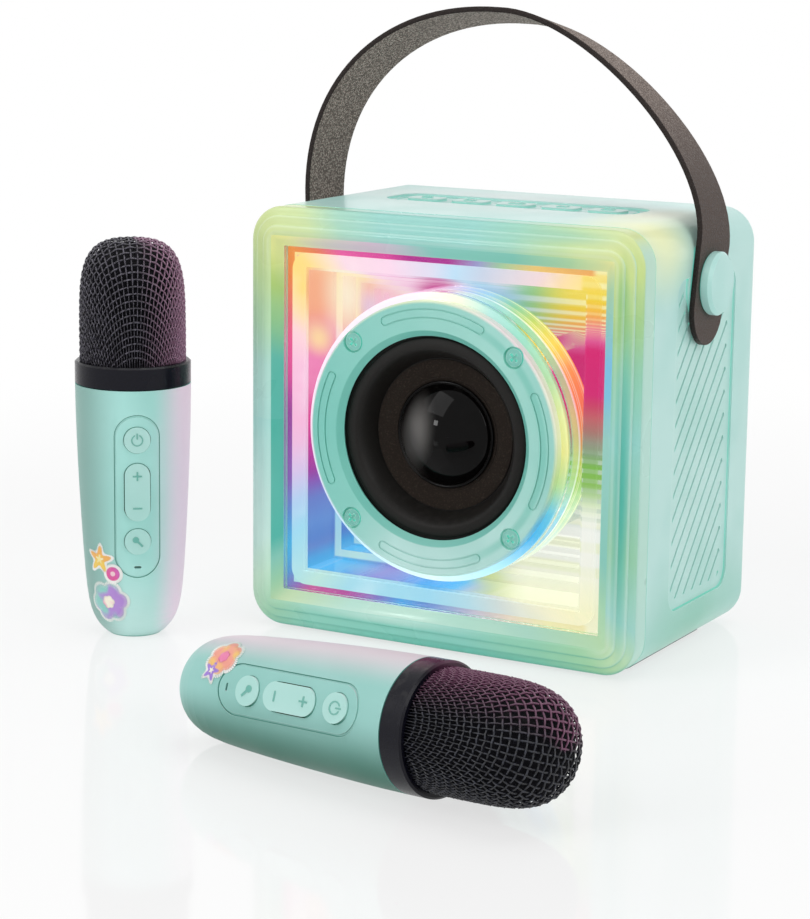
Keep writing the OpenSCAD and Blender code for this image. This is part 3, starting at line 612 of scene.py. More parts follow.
@dataclass(frozen=True)
class LevelBands:
    """The window's right part, where nested reflections cross it as level bands of light."""

    half: float = 66.0
    top: float = 59.8
    narrowing: float = 0.0524
    shrink: float = 0.78
    fine_pitch: float = 3.5
    broad_pitch: float = 9.0
    inner: tuple[tuple[float, str], ...] = (
        (0.0, "#8ec8e8"), (0.3, "#88c8d8"), (0.52, "#8cc698"), (0.74, "#b5cc70"), (1.0, "#ecd54a"),
    )

    def column(self, r: Recipe, level: Socket) -> Socket:
        """The plain colours from the window's foot to its top."""
        return r.ramp(r.even(level, -self.half, self.half), COLUMN)

    def paint(self, r: Recipe, across: Socket, level: Socket) -> Socket:
        """Lays the bands over the plain colours.

        Args:
            r: The material's recipe.
            across: The place across the window, in millimetres from the axis.
            level: The place up the window.

        Returns:
            The colour of the bands.
        """
        column = self.column(r, level)
        inner = r.ramp(r.even(across, 6.0, 58.0), self.inner)
        high = r.times(r.smooth(level, 43.0, 50.0), r.smooth(across, 58.0, 36.0))
        base = r.mix(high, column, inner)
        left = r.larger(r.minus(1.0, r.times(r.minus(self.top, level), self.narrowing)), 0.004)
        phase = r.math("FRACT", r.over(r.math("LOGARITHM", left, math.e), math.log(self.shrink)))
        upper = r.smooth(r.size(r.minus(phase, 0.5)), 0.15, 0.42)
        upper = r.times(upper, r.smooth(level, 39.0, 45.0))
        pale = r.mix(r.smooth(across, 25.0, 60.0), "#b9d8e8", "#fbf2b8")
        colour = r.mix(r.times(upper, 0.75), base, pale)
        fine = r.smooth(r.math("SINE", r.times(level, math.tau / self.fine_pitch)), -0.3, 0.6)
        fine = r.times(fine, r.times(r.smooth(level, 4.0, -4.0), r.smooth(level, -30.0, -22.0)))
        colour = r.mix(r.times(fine, 0.75), colour, "#c3d2c2")
        broad = r.smooth(r.math("SINE", r.times(level, math.tau / self.broad_pitch)), -0.2, 0.7)
        broad = r.times(broad, r.times(r.smooth(level, -22.0, -27.0), r.smooth(level, -52.0, -42.0)))
        return r.mix(r.times(broad, 0.6), colour, "#e6e9c0")


RIGHT_BANDS = LevelBands()


@dataclass(frozen=True)
class TunnelLight(Finish):
    """The steps of the light tunnel, which throw the coloured light back in ever narrower bands."""

    name: str
    first_half: float = 56.5
    first_tread: float = 4.0
    shrink: float = 0.8
    frame_half: float = 62.7
    bands_from: float = 20.0
    bands_to: float = 38.0
    outside: str = "#2f403d"
    strength: float = 0.86

    def step(self, r: Recipe, far: Socket) -> Socket:
        """The number of the step at a distance from the axis, with the share that has passed of it."""
        run = r.minus(self.first_half, far)
        left = r.minus(1.0, r.times(run, (1 - self.shrink) / self.first_tread))
        return r.over(r.math("LOGARITHM", r.larger(left, 0.01), math.e), math.log(self.shrink))

    def paint(self, r: Recipe, shader: Node) -> None:
        """Wires treads, walls, washes of light, the right side's bands, the margin and the dark outside."""
        turn, x, up, forward = round_the_front(r)
        across, level = seen_from_the_right(r, x, up, forward)
        far = r.larger(r.size(x), r.size(up))
        out_x, back, out_up = r.split(r.normal())
        facing = r.smooth(r.size(back), 0.4, 0.6)
        step = self.step(r, far)
        phase = r.math("FRACT", step)
        lit = r.times(r.smooth(phase, 0.15, 0.35), r.smooth(phase, 1.0, 0.95))
        lit = r.times(r.times(lit, facing), r.smooth(step, 0.9, 2.2, 0.9, 0.3))
        colour = r.mix(lit, r.around(turn, WALLS), r.around(turn, PASTEL))
        streak = r.noise(r.join(r.times(x, 0.16), 0.0, r.times(up, 0.03)), 1.0, 3.0)
        colour = r.mix(r.times(r.smooth(streak, 0.5, 0.75), 0.2), colour, "#f6e9f2")
        colour = painted_light_spots(r, colour, r.join(across, 0.0, level), WASHES)
        bands = RIGHT_BANDS.paint(r, across, level)
        colour = r.mix(r.smooth(across, self.bands_from, self.bands_to), colour, bands)
        margin = r.smooth(far, self.frame_half - 0.1, self.frame_half + 0.1)
        margin = r.times(margin, r.smooth(x, 61.0, 58.0))
        colour = r.mix(margin, colour, r.around(turn, MARGIN))
        outward = r.plus(r.times(out_x, x), r.times(out_up, up))
        shell = r.larger(r.smooth(outward, 2.0, 8.0), r.smooth(back, 0.3, 0.7))
        # The outside faces are painted dark, as shade; the whole colour is given off as painted light.
        colour = r.mix(shell, colour, self.outside)
        feed(
            r, shader, Base_Color=r.mix(0.8, colour, "#000000"), Emission_Color=colour,
            Roughness=r.smooth(streak, 0.3, 0.7, 0.12, 0.25), Emission_Strength=self.strength,
            Specular_IOR_Level=0.15,
        )


@dataclass(frozen=True)
class GlowingFrame(Finish):
    """The opal light frame: soft pastel colours that run round it."""

    name: str
    strength: float = 0.88

    def paint(self, r: Recipe, shader: Node) -> None:
        """Wires the pastel colours of painted light by their place round the window, and painted bands of
        reflected light on the right bar.
        """
        turn, x, up, forward = round_the_front(r)
        across, level = seen_from_the_right(r, x, up, forward)
        pale = r.around(turn, PASTEL)
        cloud = r.noise(r.join(r.times(x, 0.05), 0.0, r.times(up, 0.05)), 1.0, 2.0)
        colour = r.mix(r.times(r.smooth(cloud, 0.5, 0.75), 0.25), pale, "#ffffff")
        # Painted reflections: the right bar carries the right side's bands of light.
        right = r.mix(0.65, RIGHT_BANDS.paint(r, across, level), RIGHT_BANDS.column(r, level))
        colour = r.mix(r.smooth(x, 54.5, 56.6), colour, right)
        feed(
            r, shader, Base_Color=r.mix(0.8, colour, "#000000"), Emission_Color=colour,
            Roughness=r.smooth(cloud, 0.3, 0.7, 0.3, 0.4), Emission_Strength=self.strength,
            Specular_IOR_Level=0.15,
        )


@dataclass(frozen=True)
class LightGuide(Finish):
    """The clear spacer behind the face ring, painted with the light it carries: mint in front of a painted
    bright seam, coloured bands of light behind it.
    """

    name: str
    seam: float = 41.0
    front: float = 50.5

    def paint(self, r: Recipe, shader: Node) -> None:
        """Wires painted colours of light round the ring and painted bright lines along its depth."""
        turn, x, _, forward = round_the_front(r)
        behind = r.around(turn, {
            -180: "#d9c2dc", -135: "#b4c4e6", -90: "#d5ecec", -60: "#c3e0e4", -42: "#b4dcd0",
            -26: "#b4d8a8", -15: "#a4cc6c", -6: "#d8cc62", 2: "#f2a468", 16: "#f29a62", 30: "#f0b258",
            42: "#ecd458", 54: "#bcd272", 64: "#94cca8", 76: "#9ccbe0", 90: "#cdbfe0", 112: "#cfb4d8",
            140: "#ecd3e6", 179: "#d9c2dc",
        })
        before = r.around(turn, {
            -180: "#e8cfe0", -135: "#b4d2e4", -90: "#cfe9e6", -60: "#a4dcec", -40: "#4ab4e4",
            -26: "#6cc4dc", -14: "#b4d49c", 0: "#dcd98c", 14: "#d4dc96", 30: "#a6cf9e", 50: "#8ccfb8",
            66: "#a6d4cc", 84: "#eff0d4", 100: "#e2dcec", 140: "#eedcea", 179: "#e8cfe0",
        })
        wave = r.noise(r.join(r.times(forward, 0.36), 0.0, 0.0), 1.0, 3.0, 0.7)
        rear = r.mix(r.times(r.smooth(wave, 0.5, 0.6), 0.75), behind, "#fcf4cc")
        rear = r.mix(r.times(r.smooth(wave, 0.44, 0.36), 0.35), rear, "#e8966c", "MULTIPLY")
        near = r.smooth(forward, self.seam + 4.0, self.seam + 6.5, 0.0, 0.8)
        near = r.times(near, r.smooth(forward, self.front - 0.6, self.front - 2.2))
        mint = r.mix(r.times(near, r.smooth(x, 5.0, 32.0)), before, "#86cbb4")
        colour = r.mix(r.smooth(forward, self.seam - 0.15, self.seam + 0.15), rear, mint)
        seam = r.smooth(r.size(r.minus(forward, self.seam)), 1.0, 0.3)
        # A painted highlight along the seam.
        colour = r.mix(r.times(seam, 0.85), colour, "#fbfbf2")
        feed(
            r, shader, Base_Color=colour, Emission_Color=colour, Emission_Strength=0.45,
            Roughness=r.smooth(wave, 0.3, 0.7, 0.05, 0.12), Coat_Weight=0.6, Coat_Roughness=0.03,
        )


@dataclass(frozen=True)
class RingPlastic(Finish):
    """The mint face ring, whose outer slope on the right carries light from the tunnel."""

    name: str
    rim_from: float = 49.1
    rim_to: float = 50.3
    shade_r: float = 45.2
    hole_r: float = 39.3

    def paint(self, r: Recipe, shader: Node) -> None:
        """Wires mint plastic with painted light and shade by place round the ring, painted shade inside the
        rim and at the hole, and a painted coloured glow at the rim.
        """
        turn, x, up, _ = round_the_front(r)
        grain = MOULDED_GRAIN.use(r, {"Place": r.millimetres(), "Scale": 4.0, "Depth": 0.04})
        drift = grain.outputs["Drift"]
        # Painted light and shade round the ring: darker on the left, palest at the bottom.
        face = r.around(turn, {
            -180: "#7ecbbe", -140: "#8bd0c4", -112: "#b8e0da", -90: "#c6e6e2", -62: "#bce2dc",
            -30: "#abdcd3", 0: "#a4dad0", 45: "#a3dacf", 90: "#98d4c9", 135: "#88cec2", 179: "#7ecbbe",
        })
        colour = r.mix(r.times(r.smooth(drift, 0.35, 0.65), 0.3), face, "#74c0b2")
        radius = r.length(r.join(x, up, 0.0))
        # Painted shade inside the rim on the right.
        shade = r.smooth(r.size(r.minus(radius, self.shade_r)), 2.4, 0.4, 0.0, 0.5)
        shade = r.times(shade, r.smooth(x, 5.0, 30.0))
        colour = r.mix(shade, colour, "#62bdac")
        glow = r.around(turn, {
            -180: "#d5efe9", -140: "#d3f0e9", -100: "#cfeee4", -60: "#c3ecee", -32: "#62bde4",
            -12: "#cde4a0", 8: "#f4f6d8", 28: "#f2ecdc", 44: "#f6dce6", 62: "#f2e4e4", 84: "#f2f7d4",
            104: "#e6f0c8", 130: "#d8efe6", 179: "#d5efe9",
        })
        colour = r.mix(r.times(r.smooth(radius, self.rim_from, self.rim_to), 0.95), colour, glow)
        # Painted shade on the slope into the hole, and along sharp edges.
        inner = r.smooth(radius, self.hole_r + 0.6, self.hole_r, 0.0, 0.8)
        colour = r.mix(inner, colour, "#69bdae")
        edge = EDGE_LIGHT.use(r, {"Radius": 0.2 * MM, "Strength": 0.25})
        colour = r.mix(edge.outputs["Mask"], colour, "#57b6a6")
        feed(
            r, shader, Base_Color=colour, Emission_Color=colour, Normal=grain.outputs["Normal"],
            Roughness=r.smooth(drift, 0.3, 0.7, 0.28, 0.36), Emission_Strength=0.08, Coat_Weight=0.25,
            Coat_Roughness=0.1, Specular_IOR_Level=0.3,
        )


# Painted light and shade round the bezel, in degrees: the crest's colours, then the inner slope's.
BEZEL_CREST = {
    -180: "#aee4db", -160: "#cdf0e7", -148: "#cdf0e4", -141: "#cbedd2", -134: "#a4d4b0", -126: "#8fcfbc",
    -105: "#84cbbb", -80: "#8accbe", -60: "#93ceae", -50: "#a4d3a4", -44: "#c9e2b4", -38: "#a3d6cc",
    -25: "#9ad0ac", -12: "#96cfb8", 5: "#93d2c9", 20: "#93cfae", 32: "#a4cf8c", 40: "#cddf88",
    47: "#e0e69a", 56: "#c3dc9c", 68: "#9dd2bb", 80: "#93cfc7", 108: "#93cfc6", 119: "#a4d4be",
    127: "#cde0a2", 135: "#d5e4a0", 144: "#c7e0a0", 154: "#bfe6bc", 164: "#bae8da", 179: "#b4e6dc",
}
BEZEL_SLOPE = {
    -180: "#43b5a3", -146: "#4cb8a8", -142: "#86cbb8", -137: "#a0d3a8", -133: "#cfe6b8", -118: "#c6eadb",
    -60: "#b4dcc8", -45: "#c3e2b0", -38: "#a8d8b4", -29: "#8accbe", -10: "#98d2c6", 5: "#9ad2c8",
    12: "#8fcdda", 18: "#7cc6ee", 26: "#7cc4f0", 31: "#8ccbd6", 36: "#98d0c2", 41: "#b4d8ac",
    45: "#f0ec9a", 52: "#b4d8a0", 66: "#7cc6b4", 92: "#84c8be", 102: "#b4c2ca", 112: "#d4bace",
    122: "#d2d4c0", 133: "#ecec9c", 138: "#dfe892", 143: "#b6d46c", 150: "#98cc82", 161: "#56bba8",
    179: "#4fb9a9",
}


@dataclass(frozen=True)
class BezelPlastic(Finish):
    """The front bezel's plastic, which carries coloured light round its crest and its inner slope."""

    name: str
    slope_from: float = 69.6
    step_highlight_strength: float = 0.2
    spots: tuple[Spot, ...] = ()

    def paint(self, r: Recipe, shader: Node) -> None:
        """Wires two rings of painted light and shade, painted shade on what faces down, painted light on the
        flank that faces right, and painted highlights on the upper and right steps.
        """
        turn, x, up, _ = round_the_front(r)
        place = r.millimetres()
        grain = MOULDED_GRAIN.use(r, {"Place": place, "Scale": 3.0, "Depth": 0.05})
        drift = grain.outputs["Drift"]
        far = r.larger(r.size(x), r.plus(r.size(up), 0.5))
        slope = r.smooth(far, self.slope_from + 0.12, self.slope_from - 0.12)
        colour = r.mix(slope, r.around(turn, BEZEL_CREST), r.around(turn, BEZEL_SLOPE))
        colour = r.mix(r.times(r.smooth(drift, 0.35, 0.65), 0.2), colour, "#86cbbf")
        colour = painted_light_spots(r, colour, place, self.spots)
        across, forth, rise = r.split(r.normal())
        # Painted shade on what faces down.
        colour = r.mix(r.smooth(rise, -0.15, -0.95, 0.0, 0.8), colour, "#54b5a0")
        # Painted light on the flank that faces right.
        painted_flank_light = r.times(r.smooth(across, 0.5, 0.98), r.smooth(forth, -0.8, -0.15))
        colour = r.mix(r.times(painted_flank_light, 0.85), colour, "#b4dcd0")
        # Painted highlights along the edges of the upper and right steps.
        where = r.larger(r.smooth(up, 52.0, 64.0), r.smooth(x, 62.0, 70.0))
        line = r.times(r.node("Attribute", attribute_name="step_highlight").outputs["Fac"], where)
        colour = r.mix(r.times(line, self.step_highlight_strength), colour, "#e6f5ee")
        # Painted highlight along sharp edges.
        edge = EDGE_LIGHT.use(r, {"Radius": 0.3 * MM, "Strength": 0.2})
        colour = r.mix(edge.outputs["Mask"], colour, "#e4f4ea")
        feed(
            r, shader, Base_Color=colour, Emission_Color=colour, Normal=grain.outputs["Normal"],
            Roughness=r.smooth(drift, 0.3, 0.7, 0.26, 0.34), Emission_Strength=0.09, Coat_Weight=0.25,
            Coat_Roughness=0.12, Specular_IOR_Level=0.3,
        )


@dataclass(frozen=True)
class Leatherette(Finish):
    """Pebbled imitation leather, with a paler lining side and dark cut edges."""

    name: str
    face: str = "#b0a096"
    valley: str = "#5a4f4a"
    lining: str = "#b8a79e"
    cut: str = "#2a2321"

    def paint(self, r: Recipe, shader: Node) -> None:
        """Wires pebbles of uneven size, their valleys, the lining, painted shade down the right leg, and the
        cut edges.
        """
        place = r.millimetres()
        warp = r.node("TexNoise", {"Vector": place, "Scale": 0.9, "Detail": 2.0}).outputs["Color"]
        bent = r.vector("ADD", place, r.vector("MULTIPLY", warp, (0.8, 0.8, 0.8)))
        cells = r.node("TexVoronoi", {"Vector": bent, "Scale": 1.25}, feature="SMOOTH_F1")
        cells.inputs["Smoothness"].default_value = 0.3
        pebble = r.smooth(cells.outputs["Distance"], 0.12, 0.72, 1.0, 0.0)
        fine = r.noise(place, 5.0, 3.0)
        height = r.plus(pebble, r.times(fine, 0.25))
        normal = r.normal()
        away = r.vector("SUBTRACT", place, (0.0, 4.0, 120.0))
        outward = r.dot(normal, away)
        face = r.mix(r.smooth(outward, 5.0, -5.0), self.face, self.lining)
        # Painted shade down the lower part of the strap's right leg.
        low = r.smooth(r.split(place)[2], 222.0, 165.0, 0.0, 0.9)
        face = r.mix(r.times(low, r.smooth(r.split(place)[0], 0.0, 40.0)), face, "#322d2c")
        colour = r.mix(r.plus(r.times(pebble, 0.85), 0.1), self.valley, face)
        side = r.smooth(r.size(r.split(normal)[1]), 0.35, 0.75)
        edge = EDGE_LIGHT.use(r, {"Radius": 0.7 * MM, "Strength": 0.7}).outputs["Mask"]
        colour = r.mix(r.larger(side, edge), colour, self.cut)
        bump = r.node("Bump", {"Height": height, "Distance": 0.26 * MM, "Strength": 0.9}).outputs[0]
        rough = r.smooth(pebble, 0.0, 1.0, 0.75, 0.5)
        feed(r, shader, Base_Color=colour, Roughness=rough, Normal=bump, Specular_IOR_Level=0.2)


@dataclass(frozen=True)
class BoardFinish(Finish):
    """Solder mask with copper tracks under it and pale printed marks."""

    name: str
    axes: Point = (1.0, 1.0, 0.0)

    def paint(self, r: Recipe, shader: Node) -> None:
        """Wires tracks on a small grid, and pads where they end."""
        place = r.vector("MULTIPLY", r.millimetres(), self.axes)
        tracks = r.node("TexVoronoi", {"Vector": place, "Scale": 0.32}, feature="DISTANCE_TO_EDGE",
                        voronoi_dimensions="3D")
        line = r.smooth(tracks.outputs["Distance"], 0.1, 0.06)
        pads = r.node("TexVoronoi", {"Vector": place, "Scale": 0.32}, distance="CHEBYCHEV")
        pad = r.smooth(pads.outputs["Distance"], 0.14, 0.11)
        colour = r.mix(line, "#1d5f38", "#2f7a4a")
        colour = r.mix(pad, colour, "#c9b27a")
        feed(r, shader, Base_Color=colour, Roughness=r.smooth(line, 0.0, 1.0, 0.4, 0.28))


@dataclass(frozen=True)
class ShrinkWrap(Finish):
    """Glossy wrap of a battery cell, with its faint wrinkles."""

    name: str
    colour: str = "#2f6fb6"

    def paint(self, r: Recipe, shader: Node) -> None:
        """Wires the wrinkles and a lighter band."""
        place = r.millimetres()
        wrinkle = r.noise(r.vector("MULTIPLY", place, (0.15, 1.0, 1.0)), 0.9, 3.0)
        colour = r.mix(r.smooth(wrinkle, 0.5, 0.7), self.colour, "#4d8ad0")
        bump = r.node("Bump", {"Height": wrinkle, "Distance": 0.2 * MM, "Strength": 0.5}).outputs[0]
        feed(r, shader, Base_Color=colour, Roughness=r.smooth(wrinkle, 0.3, 0.7, 0.22, 0.3), Normal=bump)


@dataclass(frozen=True)
class WovenCloth(Finish):
    """Resin-stiffened cloth of the cone's centring disc."""

    name: str

    def paint(self, r: Recipe, shader: Node) -> None:
        """Wires two crossing sets of threads."""
        x, _, z = r.split(r.millimetres())
        warp = r.math("SINE", r.times(x, math.tau / 0.7))
        weft = r.math("SINE", r.times(z, math.tau / 0.7))
        thread = r.times(warp, weft)
        colour = r.mix(r.smooth(thread, -0.5, 0.5), "#b08a45", "#dcb878")
        bump = r.node("Bump", {"Height": thread, "Distance": 0.1 * MM, "Strength": 0.6}).outputs[0]
        feed(r, shader, Base_Color=colour, Roughness=r.smooth(thread, -1.0, 1.0, 0.8, 0.65), Normal=bump)


@dataclass(frozen=True)
class CoilWire(Finish):
    """Enamelled copper wire wound along the axis of the loudspeaker."""

    name: str

    def paint(self, r: Recipe, shader: Node) -> None:
        """Wires the turns of wire along the coil's axis."""
        _, y, _ = r.split(r.millimetres())
        turns = r.math("SINE", r.times(y, math.tau / 0.35))
        colour = r.mix(r.smooth(turns, -1.0, 0.4), "#6b3a18", "#c9803f")
        bump = r.node("Bump", {"Height": turns, "Distance": 0.08 * MM, "Strength": 0.6}).outputs[0]
        feed(
            r, shader, Base_Color=colour, Roughness=r.smooth(turns, -1.0, 1.0, 0.4, 0.25), Normal=bump,
            Metallic=1.0,
        )


@dataclass(frozen=True)
class LedStripFinish(Finish):
    """White flexible strip with glowing diodes."""

    name: str

    def paint(self, r: Recipe, shader: Node) -> None:
        """Wires the strip's white and the tinted glow of the diodes."""
        turn, *_ = round_the_front(r)
        tint = r.around(turn, PASTEL)
        soil = r.noise(r.millimetres(), 0.6, 2.0)
        colour = r.mix(0.4, tint, "#ffffff")
        feed(
            r, shader, Base_Color=colour, Emission_Color=colour, Emission_Strength=2.5,
            Roughness=r.smooth(soil, 0.3, 0.7, 0.4, 0.55),
        )


# ---------------------------------------------------------------- the finishes of this machine

# Painted light and shade on the bezel: teal shade down the right side and along the bottom, green and lilac
# glows at the top, a pale highlight low on the front.
MINT_BEZEL = BezelPlastic(
    name="mint_bezel_lit", spots=(
        Spot("#4fb7a6", (74.2, -52, 70), (3.6, 20, 80), 0.95),
        Spot("#8ec47c", (72.8, -52, 134), (3.2, 20, 22), 0.9),
        Spot("#8fc9b4", (48, -50, 157), (26, 16, 4), 0.6),
        Spot("#d3bdd0", (-34, -50, 147), (36, 12, 4.5), 0.7),
        Spot("#58b8a6", (10, -52, 2), (76, 20, 4), 0.7),
        Spot("#c9e6da", (-20, -52, 10.5), (50, 20, 3.0), 0.6),
    ),
)
# Painted light and shade on the shell: pale yellow light on the top and its corners, shade low on the right
# side and at the back.
MINT_SHELL = LitPlastic(
    name="mint_shell_lit", colour="#b4dcd6", shade="#aad7d0", roughness=0.32, glow=0.12, spots=(
        Spot("#ebf0bb", (72, -30, 157), (38, 34, 30), 1.0),
        Spot("#dce9bf", (-78, -40, 156), (26, 18, 24), 0.8),
        Spot("#eff0c0", (58, 0, 162), (26, 36, 16), 0.85),
        Spot("#dcecea", (0, 20, 162), (90, 70, 20), 0.8),
        Spot("#78bfa6", (80, 4, -4), (14, 80, 52), 0.95),
        Spot("#98cfc4", (80, 50, 4), (12, 50, 26), 0.7),
    ),
)
# The darker edge colours of the grille and the panel are painted shade along their edges.
MINT_GRILLE = LitPlastic(
    name="mint_grille_lit", colour="#b9dfd9", shade="#aedad2", roughness=0.36, glow=0.1, edge="#8fccc2",
    edge_strength=0.5, edge_radius=0.3,
)
MINT_PANEL = LitPlastic(
    name="mint_panel_lit", colour="#9fd3cc", shade="#96cdc5", roughness=0.3, glow=0.1, edge="#8fcbc1",
    edge_strength=0.55,
)
MINT_KEY = LitPlastic(
    name="mint_key", colour="#bfe2dc", shade="#b6ddd6", roughness=0.34, glow=0.1, edge="#e8f6f3",
    sign_level=160.15,
)
MINT_PIVOT = LitPlastic(
    name="mint_pivot", colour="#b4dfd9", shade="#abdad3", roughness=0.3, glow=0.1, edge="#e2f5f1",
)
RING_PLASTIC = RingPlastic(name="mint_ring")
TUNNEL_LIGHT = TunnelLight(name="tunnel_light")
GLOWING_FRAME = GlowingFrame(name="glowing_frame")
LIGHT_GUIDE = LightGuide(name="light_guide")
CLEAR_WINDOW = ClearAcrylic(name="clear_window")
LED_STRIP = LedStripFinish(name="led_strip_glow")
SCREW_MINT = LitPlastic(
    name="mint_screw", colour="#7cc4b7", shade="#6ab8aa", roughness=0.25, glow=0.05, edge="#d9f2ec",
    edge_strength=0.9, edge_radius=0.3, coat=0.6,
)
PLATED_STEEL = Metal(name="plated_steel", colour="#c5c8cb", dull="#a7abb0")
MAGNET_STEEL = Metal(name="magnet_steel", colour="#8d9095", dull="#74777c", roughness=0.35)
PAD_RUBBER = DarkMoulding(name="pad_rubber", colour="#26292a", fleck="#343838", roughness=0.8, grain=0.3)
# Its spots are painted magenta light from the speaker on the two microphones' collars.
BLACK_PLASTIC = DarkMoulding(
    name="black_plastic", colour="#0f0f18", fleck="#161622", roughness=0.22, coat=0.1, sheen=0.12, spots=(
        Spot("#6b4462", (-91, -67, 98), (11, 11, 12), 0.9),
        Spot("#7b4463", (76, -190, 45), (16, 16, 10), 0.9),
    ),
)
SURROUND_RUBBER = DarkMoulding(
    name="surround_rubber", colour="#151311", fleck="#1d1a18", roughness=0.5, grain=0.05, grain_scale=2.0,
    edge_strength=0.05, dust=0.01, sheen=0.2,
)
CONE_PAPER = DarkMoulding(
    name="cone_paper", colour="#2b2521", fleck="#3c342e", roughness=0.85, grain=0.3, grain_scale=1.6,
    edge_strength=0.3, dust=0.06, sheen=0.05,
)
# Its spots are a painted reflection: a grey crescent on the left of the cap.
CAP_GLOSS = DarkMoulding(
    name="cap_gloss", colour="#050404", fleck="#080707", roughness=0.06, grain=0.004, grain_scale=0.3,
    coat=0.1, edge_strength=0.5, dust=0.01, sheen=0.05, spots=(
        Spot("#74716f", (-8, -48, 83), (9, 20, 15), 0.9), Spot("#4a4847", (-12, -45, 76), (9, 20, 16), 0.8),
    ),
)
LEATHERETTE = Leatherette(name="leatherette")
CIRCUIT_BOARD = BoardFinish(name="circuit_board")
MIC_BOARD = BoardFinish(name="microphone_board", axes=(1.0, 1.0, 1.0))
BATTERY_WRAP = ShrinkWrap(name="battery_wrap")
SPIDER_CLOTH = WovenCloth(name="spider_cloth")
COIL_WIRE = CoilWire(name="coil_wire")
FOAM = DarkMoulding(
    name="foam", colour="#0c0c11", fleck="#1c1b24", roughness=0.95, grain=0.8, grain_scale=1.0,
)


# ---------------------------------------------------------------- mesh helpers


def quarter_turn(bm: BMesh, mid_z: float = FRONT_AXIS_Z) -> None:
    """Stands a drawing of the front view up: X right, Y up and Z forward become the frame's axes."""
    stand = Matrix.Translation((0, 0, mid_z)) @ Matrix.Rotation(math.radians(90), 4, "X")
    bmesh.ops.transform(bm, matrix=stand, verts=bm.verts)


def make_piece(
    name: str, bm: BMesh, finishes: Sequence[Finish], body: str, replaces: Sequence[str] = (),
    crease: float = 35.0, bend: tuple[Point, Point] | None = None,
) -> bpy.types.Object:
    """Turns a bmesh in millimetres into a finished piece that rides on a body.

    Args:
        name: The piece's name.
        bm: Its mesh, which is freed.
        finishes: The finishes of its material slots, in order.
        body: The body that it rides on.
        replaces: The frame nodes that it stands for.
        crease: The angle in degrees past which an edge stays sharp.
        bend: Given for a piece that bends; such a piece is baked in place and not put on its body. The points
            themselves are not read.

    Returns:
        The piece.
    """
    bmesh.ops.scale(bm, vec=(MM, MM, MM), verts=bm.verts)
    mesh = bpy.data.meshes.new(name)
    bm.to_mesh(mesh)
    bm.free()
    mesh.polygons.foreach_set("use_smooth", [True] * len(mesh.polygons))
    mesh.set_sharp_from_angle(angle=math.radians(crease))
    for finish in finishes:
        mesh.materials.append(finish.material())
    piece = bpy.data.objects.new(name, mesh)
    bpy.context.scene.collection.objects.link(piece)
    if bend:
        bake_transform(piece)
    else:
        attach(piece, body)
    if replaces:
        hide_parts(*replaces)
    LOG.info("%s: %d faces on %s", name, len(mesh.polygons), body)
    return piece


def dress(finish: Finish, *nodes: str) -> None:
    """Gives frame nodes a finish in place of their plain material."""
    for name in nodes:
        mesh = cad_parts[name].data
        mesh.materials.clear()
        mesh.materials.append(finish.material())
        LOG.info("%s: %s", name, finish.name)


def revolve(profile: Sequence[tuple[float, float]], steps: int = 96) -> BMesh:
    """Spins a closed profile of (radius, forward) about the loudspeaker's axis.

    Args:
        profile: The outline's points, in order.
        steps: How many steps make the full turn.

    Returns:
        The closed mesh, facing outwards.
    """
    bm = bmesh.new()
    verts = [bm.verts.new((radius, 0.0, forward)) for radius, forward in profile]
    edges = [bm.edges.new((a, b)) for a, b in zip(verts, verts[1:])]
    if profile[0][0] > 1e-6 and profile[-1][0] > 1e-6:
        edges.append(bm.edges.new((verts[-1], verts[0])))
    bmesh.ops.spin(
        bm, geom=verts + edges, cent=(0, 0, 0), axis=(0, 0, 1), angle=math.tau, steps=steps, use_merge=True,
    )
    bmesh.ops.remove_doubles(bm, verts=bm.verts, dist=1e-4)
    bmesh.ops.recalc_face_normals(bm, faces=bm.faces)
    return bm


def arc(middle: tuple[float, float], radius: float, start: float, end: float, steps: int,
        flat: float = 1.0) -> list[tuple[float, float]]:
    """Points along an arc, in degrees, flattened across by a factor."""
    angles = [math.radians(start + (end - start) * k / steps) for k in range(steps + 1)]
    return [(middle[0] + radius * math.cos(a), middle[1] + radius * flat * math.sin(a)) for a in angles]


def rolled_grid(
    bm: BMesh, along: int, around: int, place: Callable[[int, int], Vector],
) -> list[Vert]:
    """Rolls a flat grid into a tube.

    Args:
        bm: The mesh that the tube joins.
        along: How many faces the tube has along its length.
        around: How many faces it has round its section.
        place: Gives the place of the vertex at a station and a corner of the section.

    Returns:
        The tube's vertices, whose two open edges still lie on each other.
    """
    verts = bmesh.ops.create_grid(bm, x_segments=along, y_segments=around, size=1.0)["verts"]
    for vert in verts:
        station = round((vert.co.x + 1) / 2 * along)
        corner = round((vert.co.y + 1) / 2 * around)
        vert.co = place(station, corner % around)
    return verts


# ---------------------------------------------------------------- sub-assemblies


